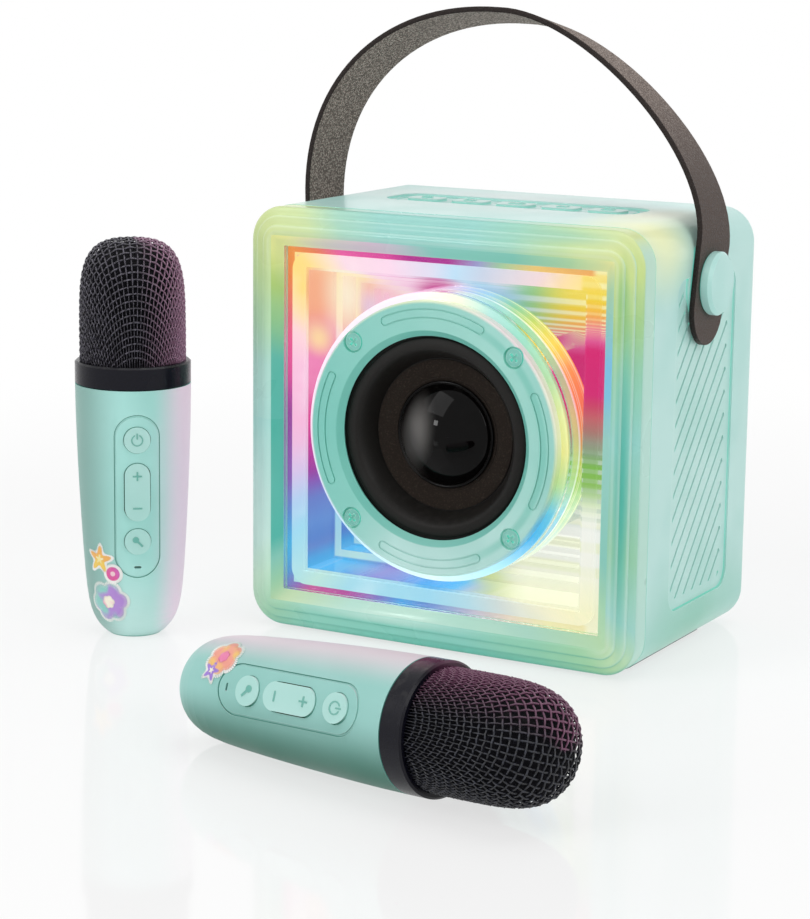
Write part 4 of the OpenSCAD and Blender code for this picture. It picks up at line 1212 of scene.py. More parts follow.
@dataclass
class FrontMoulding:
    """The front bezel: a rounded frame, two steps up to its crest, and a mitred slope down to the window."""

    width: float = 160.0
    height: float = 159.0
    corner: float = 13.0
    front: float = 52.0
    back: float = 40.0
    pocket: float = 46.0
    pocket_half: float = 73.5
    window: float = 14.4
    corner_steps: int = 12
    # In rim and slope, the third number of each step says how strongly the painted highlight shows on its
    # edge.
    rim: tuple[tuple[float, float, float], ...] = (
        (0.12, -4.1, 0), (0.4, -3.65, 0), (0.75, -3.35, 0.2), (1.2, -3.1, 0), (2.0, -2.85, 0),
        (2.9, -2.68, 0), (3.05, -2.55, 0), (3.12, -2.2, 0.3), (3.2, -1.95, 1), (3.4, -1.72, 1),
        (3.9, -1.55, 0.1), (5.1, -1.35, 0), (6.3, -1.15, 0), (6.5, -1.05, 0), (6.6, -0.75, 0.3),
        (6.7, -0.5, 1), (6.95, -0.28, 1), (7.5, -0.1, 0.1), (8.3, 0.0, 0), (8.8, 0.0, 0.6),
        (9.4, -0.03, 0.6), (9.9, -0.14, 0), (10.4, -0.3, 0),
    )
    slope: tuple[tuple[float, float, float], ...] = (
        (11.0, -0.55, 0), (12.2, -1.4, 0), (13.4, -2.3, 0), (14.1, -2.82, 0), (14.4, -3.0, 0.8),
    )

    def build(self) -> bpy.types.Object:
        """Insets the rounded face step by step, then cuts the window and closes the back.

        Returns:
            The bezel.
        """
        bm = bmesh.new()
        line = bm.verts.layers.float.new("step_highlight")
        start = self.front - 4.6
        bmesh.ops.create_grid(bm, x_segments=1, y_segments=1, size=0.5)
        bmesh.ops.scale(bm, vec=(self.width, self.height, 1), verts=bm.verts)
        bmesh.ops.translate(bm, vec=(0, 0, start), verts=bm.verts)
        bmesh.ops.bevel(
            bm, geom=bm.verts[:], offset=self.corner, segments=self.corner_steps, profile=0.5,
            affect="VERTICES", material=-1, offset_type="OFFSET",
        )
        face = max(bm.faces, key=lambda f: f.calc_area())
        outer = list(face.edges)
        at, depth = 0.0, start - self.front
        for inset, forward, bright in self.rim:
            self.step(bm, face, inset - at, forward - depth, line, bright)
            at, depth = inset, forward
        face = self.square_corners(bm, face, at)
        for inset, forward, bright in self.slope:
            self.step(bm, face, inset - at, forward - depth, line, bright)
            at, depth = inset, forward
        inner = list(face.edges)
        bmesh.ops.delete(bm, geom=[face], context="FACES_ONLY")
        inner = self.extend(bm, inner, (1.0, 1.0), self.pocket)
        across, up = self.width / 2 - self.window, self.height / 2 - self.window
        reach = (self.pocket_half / across, (self.pocket_half - 0.5) / up)
        inner = self.extend(bm, inner, reach, self.pocket)
        inner = self.extend(bm, inner, (1.0, 1.0), self.back)
        outer = self.extend(bm, outer, (1.0, 1.0), self.back)
        bmesh.ops.bridge_loops(bm, edges=inner + outer)
        bmesh.ops.recalc_face_normals(bm, faces=bm.faces)
        quarter_turn(bm)
        return make_piece("front_moulding", bm, [MINT_BEZEL], "cabinet", ["front_bezel"], 50.0)

    @staticmethod
    def step(bm: BMesh, face: Face, inward: float, forward: float, line: Any,
             bright: float) -> None:
        """Insets the face and moves it forward, and marks how strongly the painted highlight shows on its
        edge.
        """
        bmesh.ops.inset_individual(bm, faces=[face], thickness=inward, depth=forward, use_even_offset=True)
        for vert in face.verts:
            vert[line] = bright

    def square_corners(self, bm: BMesh, face: Face, inset: float) -> Face:
        """Gathers each round corner of the face into one mitred corner, and gives the face that is left."""
        forward = face.verts[0].co.z
        across, up = self.width / 2 - inset, self.height / 2 - inset
        for side_x in (-1, 1):
            for side_y in (-1, 1):
                corner = Vector((side_x * across, side_y * up, forward))
                near = [v for v in face.verts if v.co.x * side_x > 0 and v.co.y * side_y > 0]
                bmesh.ops.pointmerge(bm, verts=near, merge_co=corner)
                face = max(bm.faces, key=lambda f: f.calc_area())
        return face

    @staticmethod
    def extend(bm: BMesh, edges: list, scale: tuple[float, float], forward: float) -> list:
        """Extrudes an open loop, scales it about the axis and moves it to a distance forward."""
        made = bmesh.ops.extrude_edge_only(bm, edges=edges)["geom"]
        for vert in (g for g in made if isinstance(g, Vert)):
            vert.co = Vector((vert.co.x * scale[0], vert.co.y * scale[1], forward))
        return [g for g in made if isinstance(g, bmesh.types.BMEdge)]


@dataclass
class Cabinet:
    """The speaker's casing, its window and light tunnel, its top controls and what is inside."""

    moulding: FrontMoulding = field(default_factory=FrontMoulding)

    def build(self) -> None:
        """Builds the front moulding and dresses the casing's nodes."""
        self.moulding.build()
        dress(MINT_SHELL, "main_shell", "back_cover")
        dress(MINT_GRILLE, "side_grille_left", "side_grille_right")
        dress(MINT_PANEL, "control_panel")
        dress(MINT_KEY, "power_button", "previous_button", "play_button", "next_button", "mode_button")
        dress(CLEAR_WINDOW, "window_panel")
        dress(GLOWING_FRAME, "light_frame")
        dress(TUNNEL_LIGHT, "light_tunnel", "rear_mirror")
        dress(LED_STRIP, "led_strip")
        dress(PAD_RUBBER, "base_pad")
        dress(PLATED_STEEL, "back_cover_screws", "charge_socket", "card_socket")
        dress(BLACK_PLASTIC, "aux_socket")
        dress(CIRCUIT_BOARD, "main_board", "button_board")
        dress(BATTERY_WRAP, "battery_pack")


@dataclass
class Loudspeaker:
    """The driver on its clear spacer: face ring, roll surround, cone and glossy cap."""

    lip_r: float = 43.0
    lip_front: float = 50.5
    lip_t: float = 0.7
    roll_out: float = 36.8
    roll_in: float = 28.2
    crest_r: float = 33.2
    crest_rise: float = 1.5
    cone_r: float = 27.8
    cone_front: float = 44.0
    neck_r: float = 13.4
    neck_front: float = 37.7
    cap_r: float = 19.4
    cap_base: float = 42.2
    cap_rise: float = 8.6

    def build(self) -> None:
        """Builds the moving parts and dresses the fixed ones."""
        self.surround()
        self.cone()
        self.cap()
        dress(LIGHT_GUIDE, "clear_spacer_ring")
        dress(RING_PLASTIC, "face_ring")
        dress(SCREW_MINT, "face_ring_screws")
        dress(CLEAR_WINDOW, "ring_standoffs")
        dress(BLACK_PLASTIC, "driver_basket")
        dress(MAGNET_STEEL, "driver_magnet")
        dress(COIL_WIRE, "voice_coil")
        dress(SPIDER_CLOTH, "spider")

    def roll(self, outer: float, inner: float, down: float, steps: int = 24) -> list[tuple[float, float]]:
        """One face of the roll, from its outer foot over the crest and down into the cone.

        Args:
            outer: The radius of the outer foot.
            inner: The radius of the inner foot.
            down: How far this face lies behind the front one.
            steps: How many steps each side of the crest takes.

        Returns:
            The points as (radius, forward).
        """
        foot, low = self.lip_front - down, self.cone_front - 0.6 - down
        fall = self.lip_front + self.crest_rise - low - down
        turns = [math.pi / 2 * k / steps for k in range(steps + 1)]
        rise = [(self.crest_r + (outer - self.crest_r) * math.cos(a), foot + self.crest_rise * math.sin(a))
                for a in turns]
        drop = [(inner + (self.crest_r - inner) * k / steps, low + fall * math.sin(turns[k]))
                for k in range(steps - 1, -1, -1)]
        return rise + drop

    def surround(self) -> None:
        """Spins the roll of rubber with its flat rim and the lip under the cone."""
        back, under = self.lip_front - self.lip_t, self.cone_front - 0.6
        profile = [(self.lip_r, back), (self.lip_r, self.lip_front - 0.1), (self.lip_r - 0.1, self.lip_front)]
        profile += self.roll(self.roll_out, self.roll_in, 0.0)
        profile += [(self.cone_r - 1.8, under), (self.cone_r - 1.8, under - self.lip_t)]
        profile += self.roll(self.roll_out - 0.6, self.roll_in + 0.6, self.lip_t)[::-1]
        bm = revolve(profile, 128)
        quarter_turn(bm)
        axis = FRONT_AXIS_Z * MM
        bend = ((0.0, -(self.lip_front - self.lip_t) * MM, axis), (0.0, -(self.cone_front + 0.5) * MM, axis))
        make_piece(
            "roll_surround", bm, [SURROUND_RUBBER], "cone", ["cone_surround"], bend=bend,
        )

    def cone(self) -> None:
        """Spins the paper cone, slightly curved, with the bead of glue that holds the cap."""
        front, base = self.cone_front, self.cap_base
        bead = arc((self.cap_r + 1.1, base + 0.1), 0.5, 20, 160, 6)
        profile = [
            (self.cone_r, front - 0.6), (self.cone_r, front - 0.15), (self.cone_r - 0.15, front),
            (self.cone_r - 1.4, front), (self.cone_r - 1.7, front - 0.12), (self.cone_r - 3.4, front - 0.35),
            (23.0, 43.15), (21.6, 42.6), *bead, (self.cap_r - 1, base), (self.neck_r, self.neck_front),
            (self.neck_r, self.neck_front - 1), (self.neck_r + 0.8, self.neck_front - 1),
            (self.cap_r + 0.6, base - 1), (self.cone_r - 2.2, front - 0.8), (self.cone_r - 2, front - 0.6),
        ]
        bm = revolve(profile, 128)
        quarter_turn(bm)
        make_piece("paper_cone", bm, [CONE_PAPER], "cone", ["speaker_cone"])

    def cap(self) -> None:
        """Spins the domed cap with a small rolled rim."""
        dome = (self.cap_r ** 2 + self.cap_rise ** 2) / (2 * self.cap_rise)
        reach = math.asin((self.cap_r - 0.9) / dome)
        peak = self.cap_base + 0.8 + self.cap_rise

        def shell(radius: float, height: float, back: bool) -> list[tuple[float, float]]:
            """One face of the dome, from the rim to the pole or back."""
            angles = [reach * k / 20 for k in (range(21) if back else range(20, -1, -1))]
            return [(radius * math.sin(a), height - radius * (1 - math.cos(a))) for a in angles]

        rim = arc((self.cap_r - 0.15, self.cap_base + 0.95), 0.55, -60, 150, 8)
        inside = [(self.cap_r - 0.8, self.cap_base + 0.1)]
        outer = shell(dome, peak, False)
        profile = rim + outer + shell(dome - 0.8, peak - 0.8, True) + inside
        bm = revolve(profile, 96)
        quarter_turn(bm)
        make_piece("domed_cap", bm, [CAP_GLOSS], "cone", ["dust_cap"])


@dataclass
class StrapHandle:
    """The strap from pivot to pivot over the top, and the two pivot buttons."""

    width: float = 27.0
    thickness: float = 2.0
    pivot: Point = (0.0, 4.0, 137.0)
    lean: float = 11.0
    side: float = 81.3
    left_bend: tuple[tuple[float, float], ...] = ((-92.0, 64.0), (-58.0, 96.0))
    top_from: float = -8.0
    top: float = 93.7
    right_bend: tuple[tuple[float, float], ...] = ((26.0, 93.7), (84.0, 45.0))
    drop: float = 9.0
    hole: float = 4.05
    edge: float = 0.7
    curve_steps: int = 32

    def curve(self) -> list[Vector]:
        """The strap's middle line over the pivots, as (across, up), without its straight ends."""
        summit = (self.top_from, self.top)
        left = [(-self.side, 14.0), *self.left_bend, summit]
        right = [summit, *self.right_bend, (self.side, 12.0)]
        points = []
        for number, control in enumerate((left, right)):
            a, b, c, d = [Vector(p) for p in control]
            for k in range(number, self.curve_steps + 1):
                t = k / self.curve_steps
                s = 1 - t
                points.append(a * s ** 3 + b * 3 * t * s ** 2 + c * 3 * t * t * s + d * t ** 3)
        return points

    def stations(self) -> list[tuple[Vector, float]]:
        """Every station of the strap as (point, half width), with its round ends."""
        half = self.width / 2
        end = [(Vector((-self.side, -self.drop - half * math.cos(a))), half * math.sin(a))
               for a in (math.radians(d) for d in (3, 8, 15, 24, 34, 45, 57, 70, 84))]
        rise = [(Vector((-self.side, z)), half) for z in (-self.drop, -3.0, 3.0, 9.0)]
        middle = [(point, half) for point in self.curve()]
        mirrored = [(Vector((-p.x, p.y)), h) for p, h in reversed(end + rise)]
        return end + rise + middle + mirrored

    def section(self, half: float) -> list[tuple[float, float]]:
        """The strap's rounded section as (across its width, out from its face)."""
        t, edge = self.thickness / 2, min(self.edge, half * 0.9)
        corner = [(half * 0.5, t), (half - edge * 0.5, t), (half - edge * 0.12, t * 0.72), (half, t * 0.3)]
        upper = [(-x, y) for x, y in corner[::-1]] + [(0.0, t)] + corner
        return upper + [(x, -y) for x, y in upper[::-1]]

    def build(self) -> None:
        """Sweeps the strap, leans it back about the pivots and bores the pivot holes."""
        stations = self.stations()
        sections = [self.section(half) for _, half in stations]
        points = [point for point, _ in stations]

        def place(k: int, corner: int) -> Vector:
            """One vertex of the strap."""
            along = (points[min(k + 1, len(points) - 1)] - points[max(k - 1, 0)]).normalized()
            out = Vector((-along.y, along.x))
            across, rise = sections[k][corner]
            return Vector((points[k].x + out.x * rise, across, points[k].y + out.y * rise))

        bm = bmesh.new()
        rolled_grid(bm, len(stations) - 1, len(sections[0]), place)
        bmesh.ops.remove_doubles(bm, verts=bm.verts, dist=1e-4)
        bmesh.ops.holes_fill(bm, edges=[e for e in bm.edges if e.is_boundary], sides=0)
        bmesh.ops.recalc_face_normals(bm, faces=bm.faces)
        lean = Matrix.Translation(self.pivot) @ Matrix.Rotation(math.radians(-self.lean), 4, "X")
        bmesh.ops.transform(bm, matrix=lean, verts=bm.verts)
        strap = make_piece(
            "leather_strap", bm, [LEATHERETTE], "handle", ["handle_strap"], 40.0,
        )
        self.bore(strap)
        dress(MINT_PIVOT, "pivot_button_left", "pivot_button_right")

    def bore(self, strap: bpy.types.Object) -> None:
        """Cuts the pivot holes through both ends of the strap."""
        cutter = bmesh.new()
        bmesh.ops.create_cone(
            cutter, cap_ends=True, segments=40, radius1=self.hole * MM, radius2=self.hole * MM,
            depth=(2 * self.side + 20) * MM,
        )
        turn = Matrix.Translation(Vector(self.pivot) * MM) @ Matrix.Rotation(math.radians(90), 4, "Y")
        bmesh.ops.transform(cutter, matrix=turn, verts=cutter.verts)
        mesh = bpy.data.meshes.new("pivot_bore")
        cutter.to_mesh(mesh)
        cutter.free()
        tool = bpy.data.objects.new("pivot_bore", mesh)
        bpy.context.scene.collection.objects.link(tool)
        cut = strap.modifiers.new("pivot_holes", "BOOLEAN")
        cut.object = tool
        cut.operation = "DIFFERENCE"
        cut.solver = "EXACT"
        bpy.context.view_layer.update()
        bored = bpy.data.meshes.new_from_object(strap.evaluated_get(bpy.context.evaluated_depsgraph_get()))
        strap.modifiers.clear()
        strap.data = bored
        bored.name = strap.name
        bpy.data.objects.remove(tool)


# ---------------------------------------------------------------- microphones


@dataclass
class GrilleNet:
    """Flat woven wire mesh pressed over the domed head of a microphone."""

    foot: float = 103.5
    rise: float = 44.5
    radius: float = 19.1
    pitch: float = 2.6
    wire: float = 0.34
    weave: float = 0.33
    sides: int = 6
    outline_steps: int = 400
    pole_power: float = 3.3
    dome_power: float = 5.3
    dome_root: float = 0.31

    def profile(self) -> list[tuple[float, float, float]]:
        """The dome's outline from the pole down, as (length from the pole, radius, height)."""
        points = []
        run = 0.0
        last = None
        for k in range(self.outline_steps + 1):
            t = 1 - (k / self.outline_steps) ** self.pole_power
            radius = self.radius * max(1 - t ** self.dome_power, 0.0) ** self.dome_root
            height = self.foot + self.rise * t
            if last:
                run += math.hypot(radius - last[0], height - last[1])
            last = (radius, height)
            points.append((run, radius, height))
        return points

    def press(self, outline: list[tuple[float, float, float]], runs: list[float], a: float, b: float,
              lift: float) -> Vector:
        """Presses a point of the flat net onto the dome.

        Args:
            outline: The dome's outline.
            runs: The outline's lengths from the pole.
            a: The point's place across the net.
            b: Its place along the net.
            lift: Its height over the net's middle.

        Returns:
            The point on the standing microphone.
        """
        run = math.hypot(a, b)
        azimuth = math.atan2(b, a)
        k = min(max(bisect_right(runs, run), 1), len(runs) - 1)
        low, high = outline[k - 1], outline[k]
        share = (run - low[0]) / max(high[0] - low[0], 1e-9)
        radius = low[1] + (high[1] - low[1]) * share
        height = low[2] + (high[2] - low[2]) * share
        slope = Vector((high[1] - low[1], high[2] - low[2])).normalized()
        radius, height = radius - slope.y * lift, height + slope.x * lift
        return Vector((radius * math.cos(azimuth), radius * math.sin(azimuth), height))

    def wire_into(self, bm: BMesh, number: int, across: bool, outline: Any, runs: Any,
                  reach: float) -> None:
        """Adds one wire of the net, which goes over and under the wires that it crosses."""
        offset = (number + 0.5) * self.pitch
        if abs(offset) >= reach - self.pitch:
            return
        half = math.sqrt(reach ** 2 - offset ** 2)
        count = max(int(2 * half / (self.pitch / 2)), 4)

        def place(k: int, corner: int) -> Vector:
            """One vertex of the wire."""
            run = -half + 2 * half * k / count
            angle = math.tau * corner / self.sides
            sign = 1 if (number % 2 == 0) == across else -1
            lift = sign * self.weave * math.sin(math.pi * run / self.pitch)
            side = offset + self.wire * math.cos(angle)
            lift += self.wire * math.sin(angle)
            a, b = (run, side) if across else (side, run)
            return self.press(outline, runs, a, b, lift)

        rolled_grid(bm, count, self.sides, place)

    def build(self) -> BMesh:
        """Weaves the whole net for a microphone that stands at the origin.

        Returns:
            The net's mesh.
        """
        outline = self.profile()
        runs = [point[0] for point in outline]
        reach = runs[-1]
        bm = bmesh.new()
        count = int(reach / self.pitch) + 1
        for number in range(-count, count):
            for across in (False, True):
                self.wire_into(bm, number, across, outline, runs, reach)
        bmesh.ops.remove_doubles(bm, verts=bm.verts, dist=1e-3)
        bmesh.ops.recalc_face_normals(bm, faces=bm.faces)
        return bm


class Motif(Enum):
    """The generic shapes of the die-cut stickers, as radius over angle."""

    STAR = "star"
    FLOWER = "flower"
    DISC = "disc"

    def reach(self, angle: float) -> float:
        """The outline's share of full size at an angle."""
        if self is Motif.STAR:
            return 0.72 + 0.28 * math.cos(5 * angle) + 0.05 * math.cos(10 * angle)
        if self is Motif.FLOWER:
            return 0.78 + 0.22 * abs(math.cos(3 * angle)) ** 0.6
        return 1.0


@dataclass(frozen=True)
class Sticker:
    """One die-cut sticker: a motif with a white border, at a place on a microphone's handle."""

    name: str
    motif: Motif
    size: float
    along: float
    azimuth: float
    colour: str
    second: str
    middle: str
    spin: float = 0.0


@dataclass(frozen=True)
class PrintedVinyl(Finish):
    """Printed sticker vinyl whose colour runs softly from one tone to another."""

    name: str
    colour: str
    second: str

    def paint(self, r: Recipe, shader: Node) -> None:
        """Wires the soft change of colour up the sticker."""
        place = r.millimetres()
        cloud = r.noise(place, 0.16, 1.0)
        colour = r.mix(r.smooth(cloud, 0.4, 0.6), self.colour, self.second)
        rough = r.smooth(cloud, 0.3, 0.7, 0.3, 0.36)
        feed(r, shader, Base_Color=colour, Roughness=rough, Coat_Weight=0.3)


def facing(r: Recipe, side: Point) -> Socket:
    """How far the surface faces a side, from -1 to 1."""
    normal = r.normal()
    return r.dot(normal, side)


@dataclass(frozen=True)
class MicPlastic(Finish):
    """Soft matt mint plastic of a microphone, with the tint that the lit speaker throws on one side."""

    name: str
    at: Point
    turn: tuple[float, float, float]
    colour: str = "#a0cdc4"
    shade: str = "#98c8be"
    tint: str = "#e2bfd7"
    tint_side: Point = (1.0, 0.0, 0.0)
    tint_start: float = -0.1
    tint_strength: float = 0.85
    tint_from: float = -20.0
    tint_to: float = 95.0
    dark: str = "#7fa79d"
    dark_side: Point = (0.0, 0.0, -1.0)
    dark_start: float = 0.12
    tail: str = "#cdebe6"
    tail_strength: float = 0.7
    # gap: painted shade in narrow gaps, which also glow a little as painted light.
    gap: str = "#579b8f"
    sign_level: float = 0.0

    def paint(self, r: Recipe, shader: Node) -> None:
        """Wires the drift of the mint, its pale tail, the shaded side and the coloured light on the other."""
        place = r.millimetres()
        local = r.turned(place, self.at, Euler(self.turn))
        grain = MOULDED_GRAIN.use(r, {"Place": place, "Scale": 6.0, "Depth": 0.06})
        drift = grain.outputs["Drift"]
        length = r.split(local)[2]
        colour = r.mix(r.smooth(drift, 0.35, 0.65), self.colour, self.shade)
        colour = r.mix(r.smooth(length, 34.0, 0.0, 0.0, self.tail_strength), colour, self.tail)
        # Painted shade on the side away from the light.
        dark = r.smooth(facing(r, self.dark_side), self.dark_start, 0.95, 0.0, 0.95)
        colour = r.mix(dark, colour, self.dark)
        zone = r.times(r.smooth(length, self.tint_from, self.tint_from + 30),
                      r.smooth(length, self.tint_to + 30, self.tint_to))
        mask = r.times(zone, self.tint_strength)
        mask = r.times(r.smooth(facing(r, self.tint_side), self.tint_start, 0.98), mask)
        colour = r.mix(mask, colour, self.tint)
        if self.sign_level:
            height = r.times(r.split(local)[1], -1.0)
            proud = r.smooth(height, self.sign_level - 0.03, self.sign_level + 0.03)
            colour = r.mix(proud, colour, "#6bb0a4")
        # Painted highlight along sharp edges, then painted shade with a little glow in narrow gaps.
        edge = EDGE_LIGHT.use(r, {"Radius": 0.3 * MM, "Strength": 0.4})
        colour = r.mix(edge.outputs["Mask"], colour, "#cfeae5")
        gap = GAP_LIGHT.use(r, {"Colour": colour, "Tint": self.gap, "Distance": 0.8 * MM})
        colour = gap.outputs["Colour"]
        feed(
            r, shader, Base_Color=colour, Normal=grain.outputs["Normal"],
            Emission_Color=glowing(r, colour, gap.outputs["Mask"], 0.06, 0.3), Emission_Strength=1.0,
            Roughness=r.smooth(drift, 0.3, 0.7, 0.42, 0.52), Coat_Weight=0.1, Coat_Roughness=0.25,
            Specular_IOR_Level=0.3,
        )


@dataclass(frozen=True)
class GrilleWire(Finish):
    """Black coated wire with painted highlights in random flecks, tinted where coloured light meets the head.
    """

    name: str
    at: Point
    turn: tuple[float, float, float]
    tint: str
    tint_side: Point
    colour: str
    fleck: str
    tint_start: float = 0.1
    tint_strength: float = 0.8

    def paint(self, r: Recipe, shader: Node) -> None:
        """Wires the coat with its painted highlight flecks, and the painted tint of coloured light on one
        side of the head.
        """
        place = r.millimetres()
        highlight_flecks = r.noise(place, 1.1, 3.0)
        colour = r.mix(r.smooth(highlight_flecks, 0.42, 0.66), self.colour, self.fleck)
        x, y, _ = r.split(r.turned(place, self.at, Euler(self.turn)))
        out = r.vector("NORMALIZE", r.join(x, y, 0.0))
        side = Euler(self.turn).to_matrix().transposed() @ Vector(self.tint_side)
        side = tuple(Vector((side.x, side.y, 0.0)).normalized())
        lit = r.dot(out, side)
        mask = r.smooth(lit, self.tint_start, 1.0, 0.0, self.tint_strength)
        colour = r.mix(mask, colour, self.tint)
        feed(
            r, shader, Base_Color=colour, Roughness=r.smooth(highlight_flecks, 0.3, 0.7, 0.26, 0.4),
            Specular_IOR_Level=0.4,
        )


@dataclass
class Microphone:
    """One wireless microphone: its handle, keys, collar and woven grille, where it stands or lies."""

    number: int
    at: Point
    turn: tuple[float, float, float]
    # tint, dark and their sides carry painted light and shade; colours and wire_colours have each
    # microphone's light and shade painted in.
    tint: str
    tint_side: Point
    tint_start: float
    colours: tuple[str, str]
    wire_tint: str
    wire_colours: tuple[str, str]
    dark: str
    dark_side: Point
    tail_strength: float
    stickers: tuple[Sticker, ...] = ()
    length: float = 95.0
    collar_r: float = 21.4
    taper: float = 4.6
    taper_power: float = 1.6
    tail_in: float = 7.0
    tail_reach: float = 5.2
    sticker_layers: tuple[tuple[float, float, float], ...] = (
        (1.0, 1.2, 0.16), (1.0, 0.0, 0.24), (0.36, 0.0, 0.3),
    )
    key_places: tuple[tuple[str, float, float], ...] = (
        ("power_button", 77.0, 0.72), ("effect_button", 38.75, 0.72), ("volume_rocker", 57.5, 0.82),
    )

    @property
    def body(self) -> str:
        """The body that carries the microphone."""
        return f"mic_{self.number}"

    @property
    def place(self) -> Matrix:
        """Carries a microphone that stands at the origin to its own place, in millimetres."""
        return Matrix.Translation(self.at) @ Euler(self.turn).to_matrix().to_4x4()

    def handle_r(self, s: float) -> float:
        """The handle's radius at a length from its tail."""
        taper = self.taper * max(1 - s / self.length, 0.0) ** self.taper_power
        return self.collar_r - taper - self.tail_in * math.exp(-s / self.tail_reach)

    def build(self, net: bpy.types.Mesh | None) -> bpy.types.Mesh:
        """Dresses the handle, and builds or copies the grille and the stickers.

        Args:
            net: The first microphone's net at the origin, or None to weave it.

        Returns:
            The net's mesh at the origin, for the next microphone.
        """
        lit = {"at": self.at, "turn": self.turn, "tint": self.tint, "tint_side": self.tint_side,
               "tint_start": self.tint_start, "dark": self.dark, "dark_side": self.dark_side,
               "tail_strength": self.tail_strength}
        plain = MicPlastic(name=f"{self.body}_mint", colour=self.colours[0], shade=self.colours[1], **lit)
        dress(plain, f"{self.body}_shell", f"{self.body}_control_plate")
        for key, s, proud in self.key_places:
            finish = MicPlastic(
                name=f"{self.body}_{key}_mint", colour="#b9e2dc", shade="#b0ddd6", tint_strength=0.3,
                sign_level=self.handle_r(s) + proud, **lit,
            )
            dress(finish, f"{self.body}_{key}")
        dress(BLACK_PLASTIC, f"{self.body}_collar")
        dress(FOAM, f"{self.body}_foam")
        dress(PLATED_STEEL, f"{self.body}_capsule")
        dress(MIC_BOARD, f"{self.body}_board")
        dress(BATTERY_WRAP, f"{self.body}_battery")
        if net is None:
            woven = GrilleNet().build()
            net = bpy.data.meshes.new("grille_net")
            woven.to_mesh(net)
            woven.free()
        bm = bmesh.new()
        bm.from_mesh(net)
        bmesh.ops.transform(bm, matrix=self.place, verts=bm.verts)
        wire = GrilleWire(
            name=f"{self.body}_wire", at=self.at, turn=self.turn, tint=self.wire_tint,
            tint_side=self.tint_side, colour=self.wire_colours[0], fleck=self.wire_colours[1],
        )
        make_piece(
            f"{self.body}_woven_grille", bm, [wire], self.body, [f"{self.body}_grille"], 80.0,
        )
        for sticker in self.stickers:
            self.stick(sticker)
        return net

    def stick(self, sticker: Sticker) -> None:
        """Lays a sticker's white border and its motif on the handle."""
        bm = bmesh.new()
        border = PrintedVinyl(name="sticker_white", colour="#fbfbf8", second="#f4f4f1")
        motif = PrintedVinyl(name=sticker.name + "_print", colour=sticker.colour, second=sticker.second)
        middle = PrintedVinyl(name=sticker.name + "_middle", colour=sticker.middle, second="#fdf6e2")
        for slot, (share, grow, lift) in enumerate(self.sticker_layers):
            made = bmesh.ops.create_circle(bm, cap_ends=True, cap_tris=True, segments=60, radius=1.0)["verts"]
            faces = {f for v in made for f in v.link_faces}
            edges = {e for f in faces for e in f.edges}
            cut = bmesh.ops.subdivide_edges(bm, edges=list(edges), cuts=3, use_grid_fill=True)
            verts = {v for f in faces for v in f.verts}
            verts |= {g for g in cut["geom"] if isinstance(g, Vert)}
            faces = {f for v in verts for f in v.link_faces}
            for face in faces:
                face.material_index = slot
            for vert in verts:
                angle = math.atan2(vert.co.y, vert.co.x)
                reach = share * sticker.size * sticker.motif.reach(angle) + grow
                self.lay(vert, sticker, reach, angle, lift)
        bmesh.ops.recalc_face_normals(bm, faces=bm.faces)
        bmesh.ops.transform(bm, matrix=self.place, verts=bm.verts)
        make_piece(sticker.name, bm, [border, motif, middle], self.body, (), 60.0)

    def lay(self, vert: Vert, sticker: Sticker, reach: float, angle: float, lift: float) -> None:
        """Moves a vertex of a flat unit disc onto the handle."""
        share = math.hypot(vert.co.x, vert.co.y)
        turned = angle + math.radians(sticker.spin)
        across, up = share * reach * math.cos(turned), share * reach * math.sin(turned)
        s = sticker.along + up
        radius = self.handle_r(s)
        azimuth = math.radians(sticker.azimuth) + across / self.handle_r(sticker.along)
        radius += lift
        vert.co = Vector((radius * math.cos(azimuth), radius * math.sin(azimuth), s))


# ---------------------------------------------------------------- studio


@dataclass(frozen=True)
class PhotoCamera:
    """The camera at the photograph's angle."""

    eye: Point = (0.44996, -0.87842, 0.26461)
    aim: Point = (-0.04091, 0.0, 0.05932)
    roll: float = 0.65
    lens: float = 104.08

    def build(self) -> None:
        """Places the camera and makes it the scene's."""
        forward = (Vector(self.aim) - Vector(self.eye)).normalized()
        right = forward.cross(Vector((0, 0, 1))).normalized()
        up = right.cross(forward)
        c, s = math.cos(math.radians(self.roll)), math.sin(math.radians(self.roll))
        right, up = c * right + s * up, -s * right + c * up
        data = bpy.data.cameras.new("photo_camera")
        data.lens = self.lens
        data.sensor_width = 36.0
        data.clip_start = 0.02
        camera = bpy.data.objects.new("photo_camera", data)
        turn = Matrix((right, up, -forward)).transposed().to_4x4()
        camera.matrix_world = Matrix.Translation(self.eye) @ turn
        bpy.context.scene.collection.objects.link(camera)
        bpy.context.scene.camera = camera


@dataclass(frozen=True)
class Softbox:
    """A square area lamp that looks at the object."""

    name: str
    at: Point
    size: float
    power: float

    def build(self) -> None:
        """Places the lamp."""
        data = bpy.data.lights.new(self.name, "AREA")
        data.shape = "SQUARE"
        data.size = self.size
        data.energy = self.power
        lamp = bpy.data.objects.new(self.name, data)
        toward = Vector((-0.02, -0.03, 0.08)) - Vector(self.at)
        lamp.rotation_euler = toward.to_track_quat("-Z", "Y").to_euler()
        lamp.location = self.at
        bpy.context.scene.collection.objects.link(lamp)


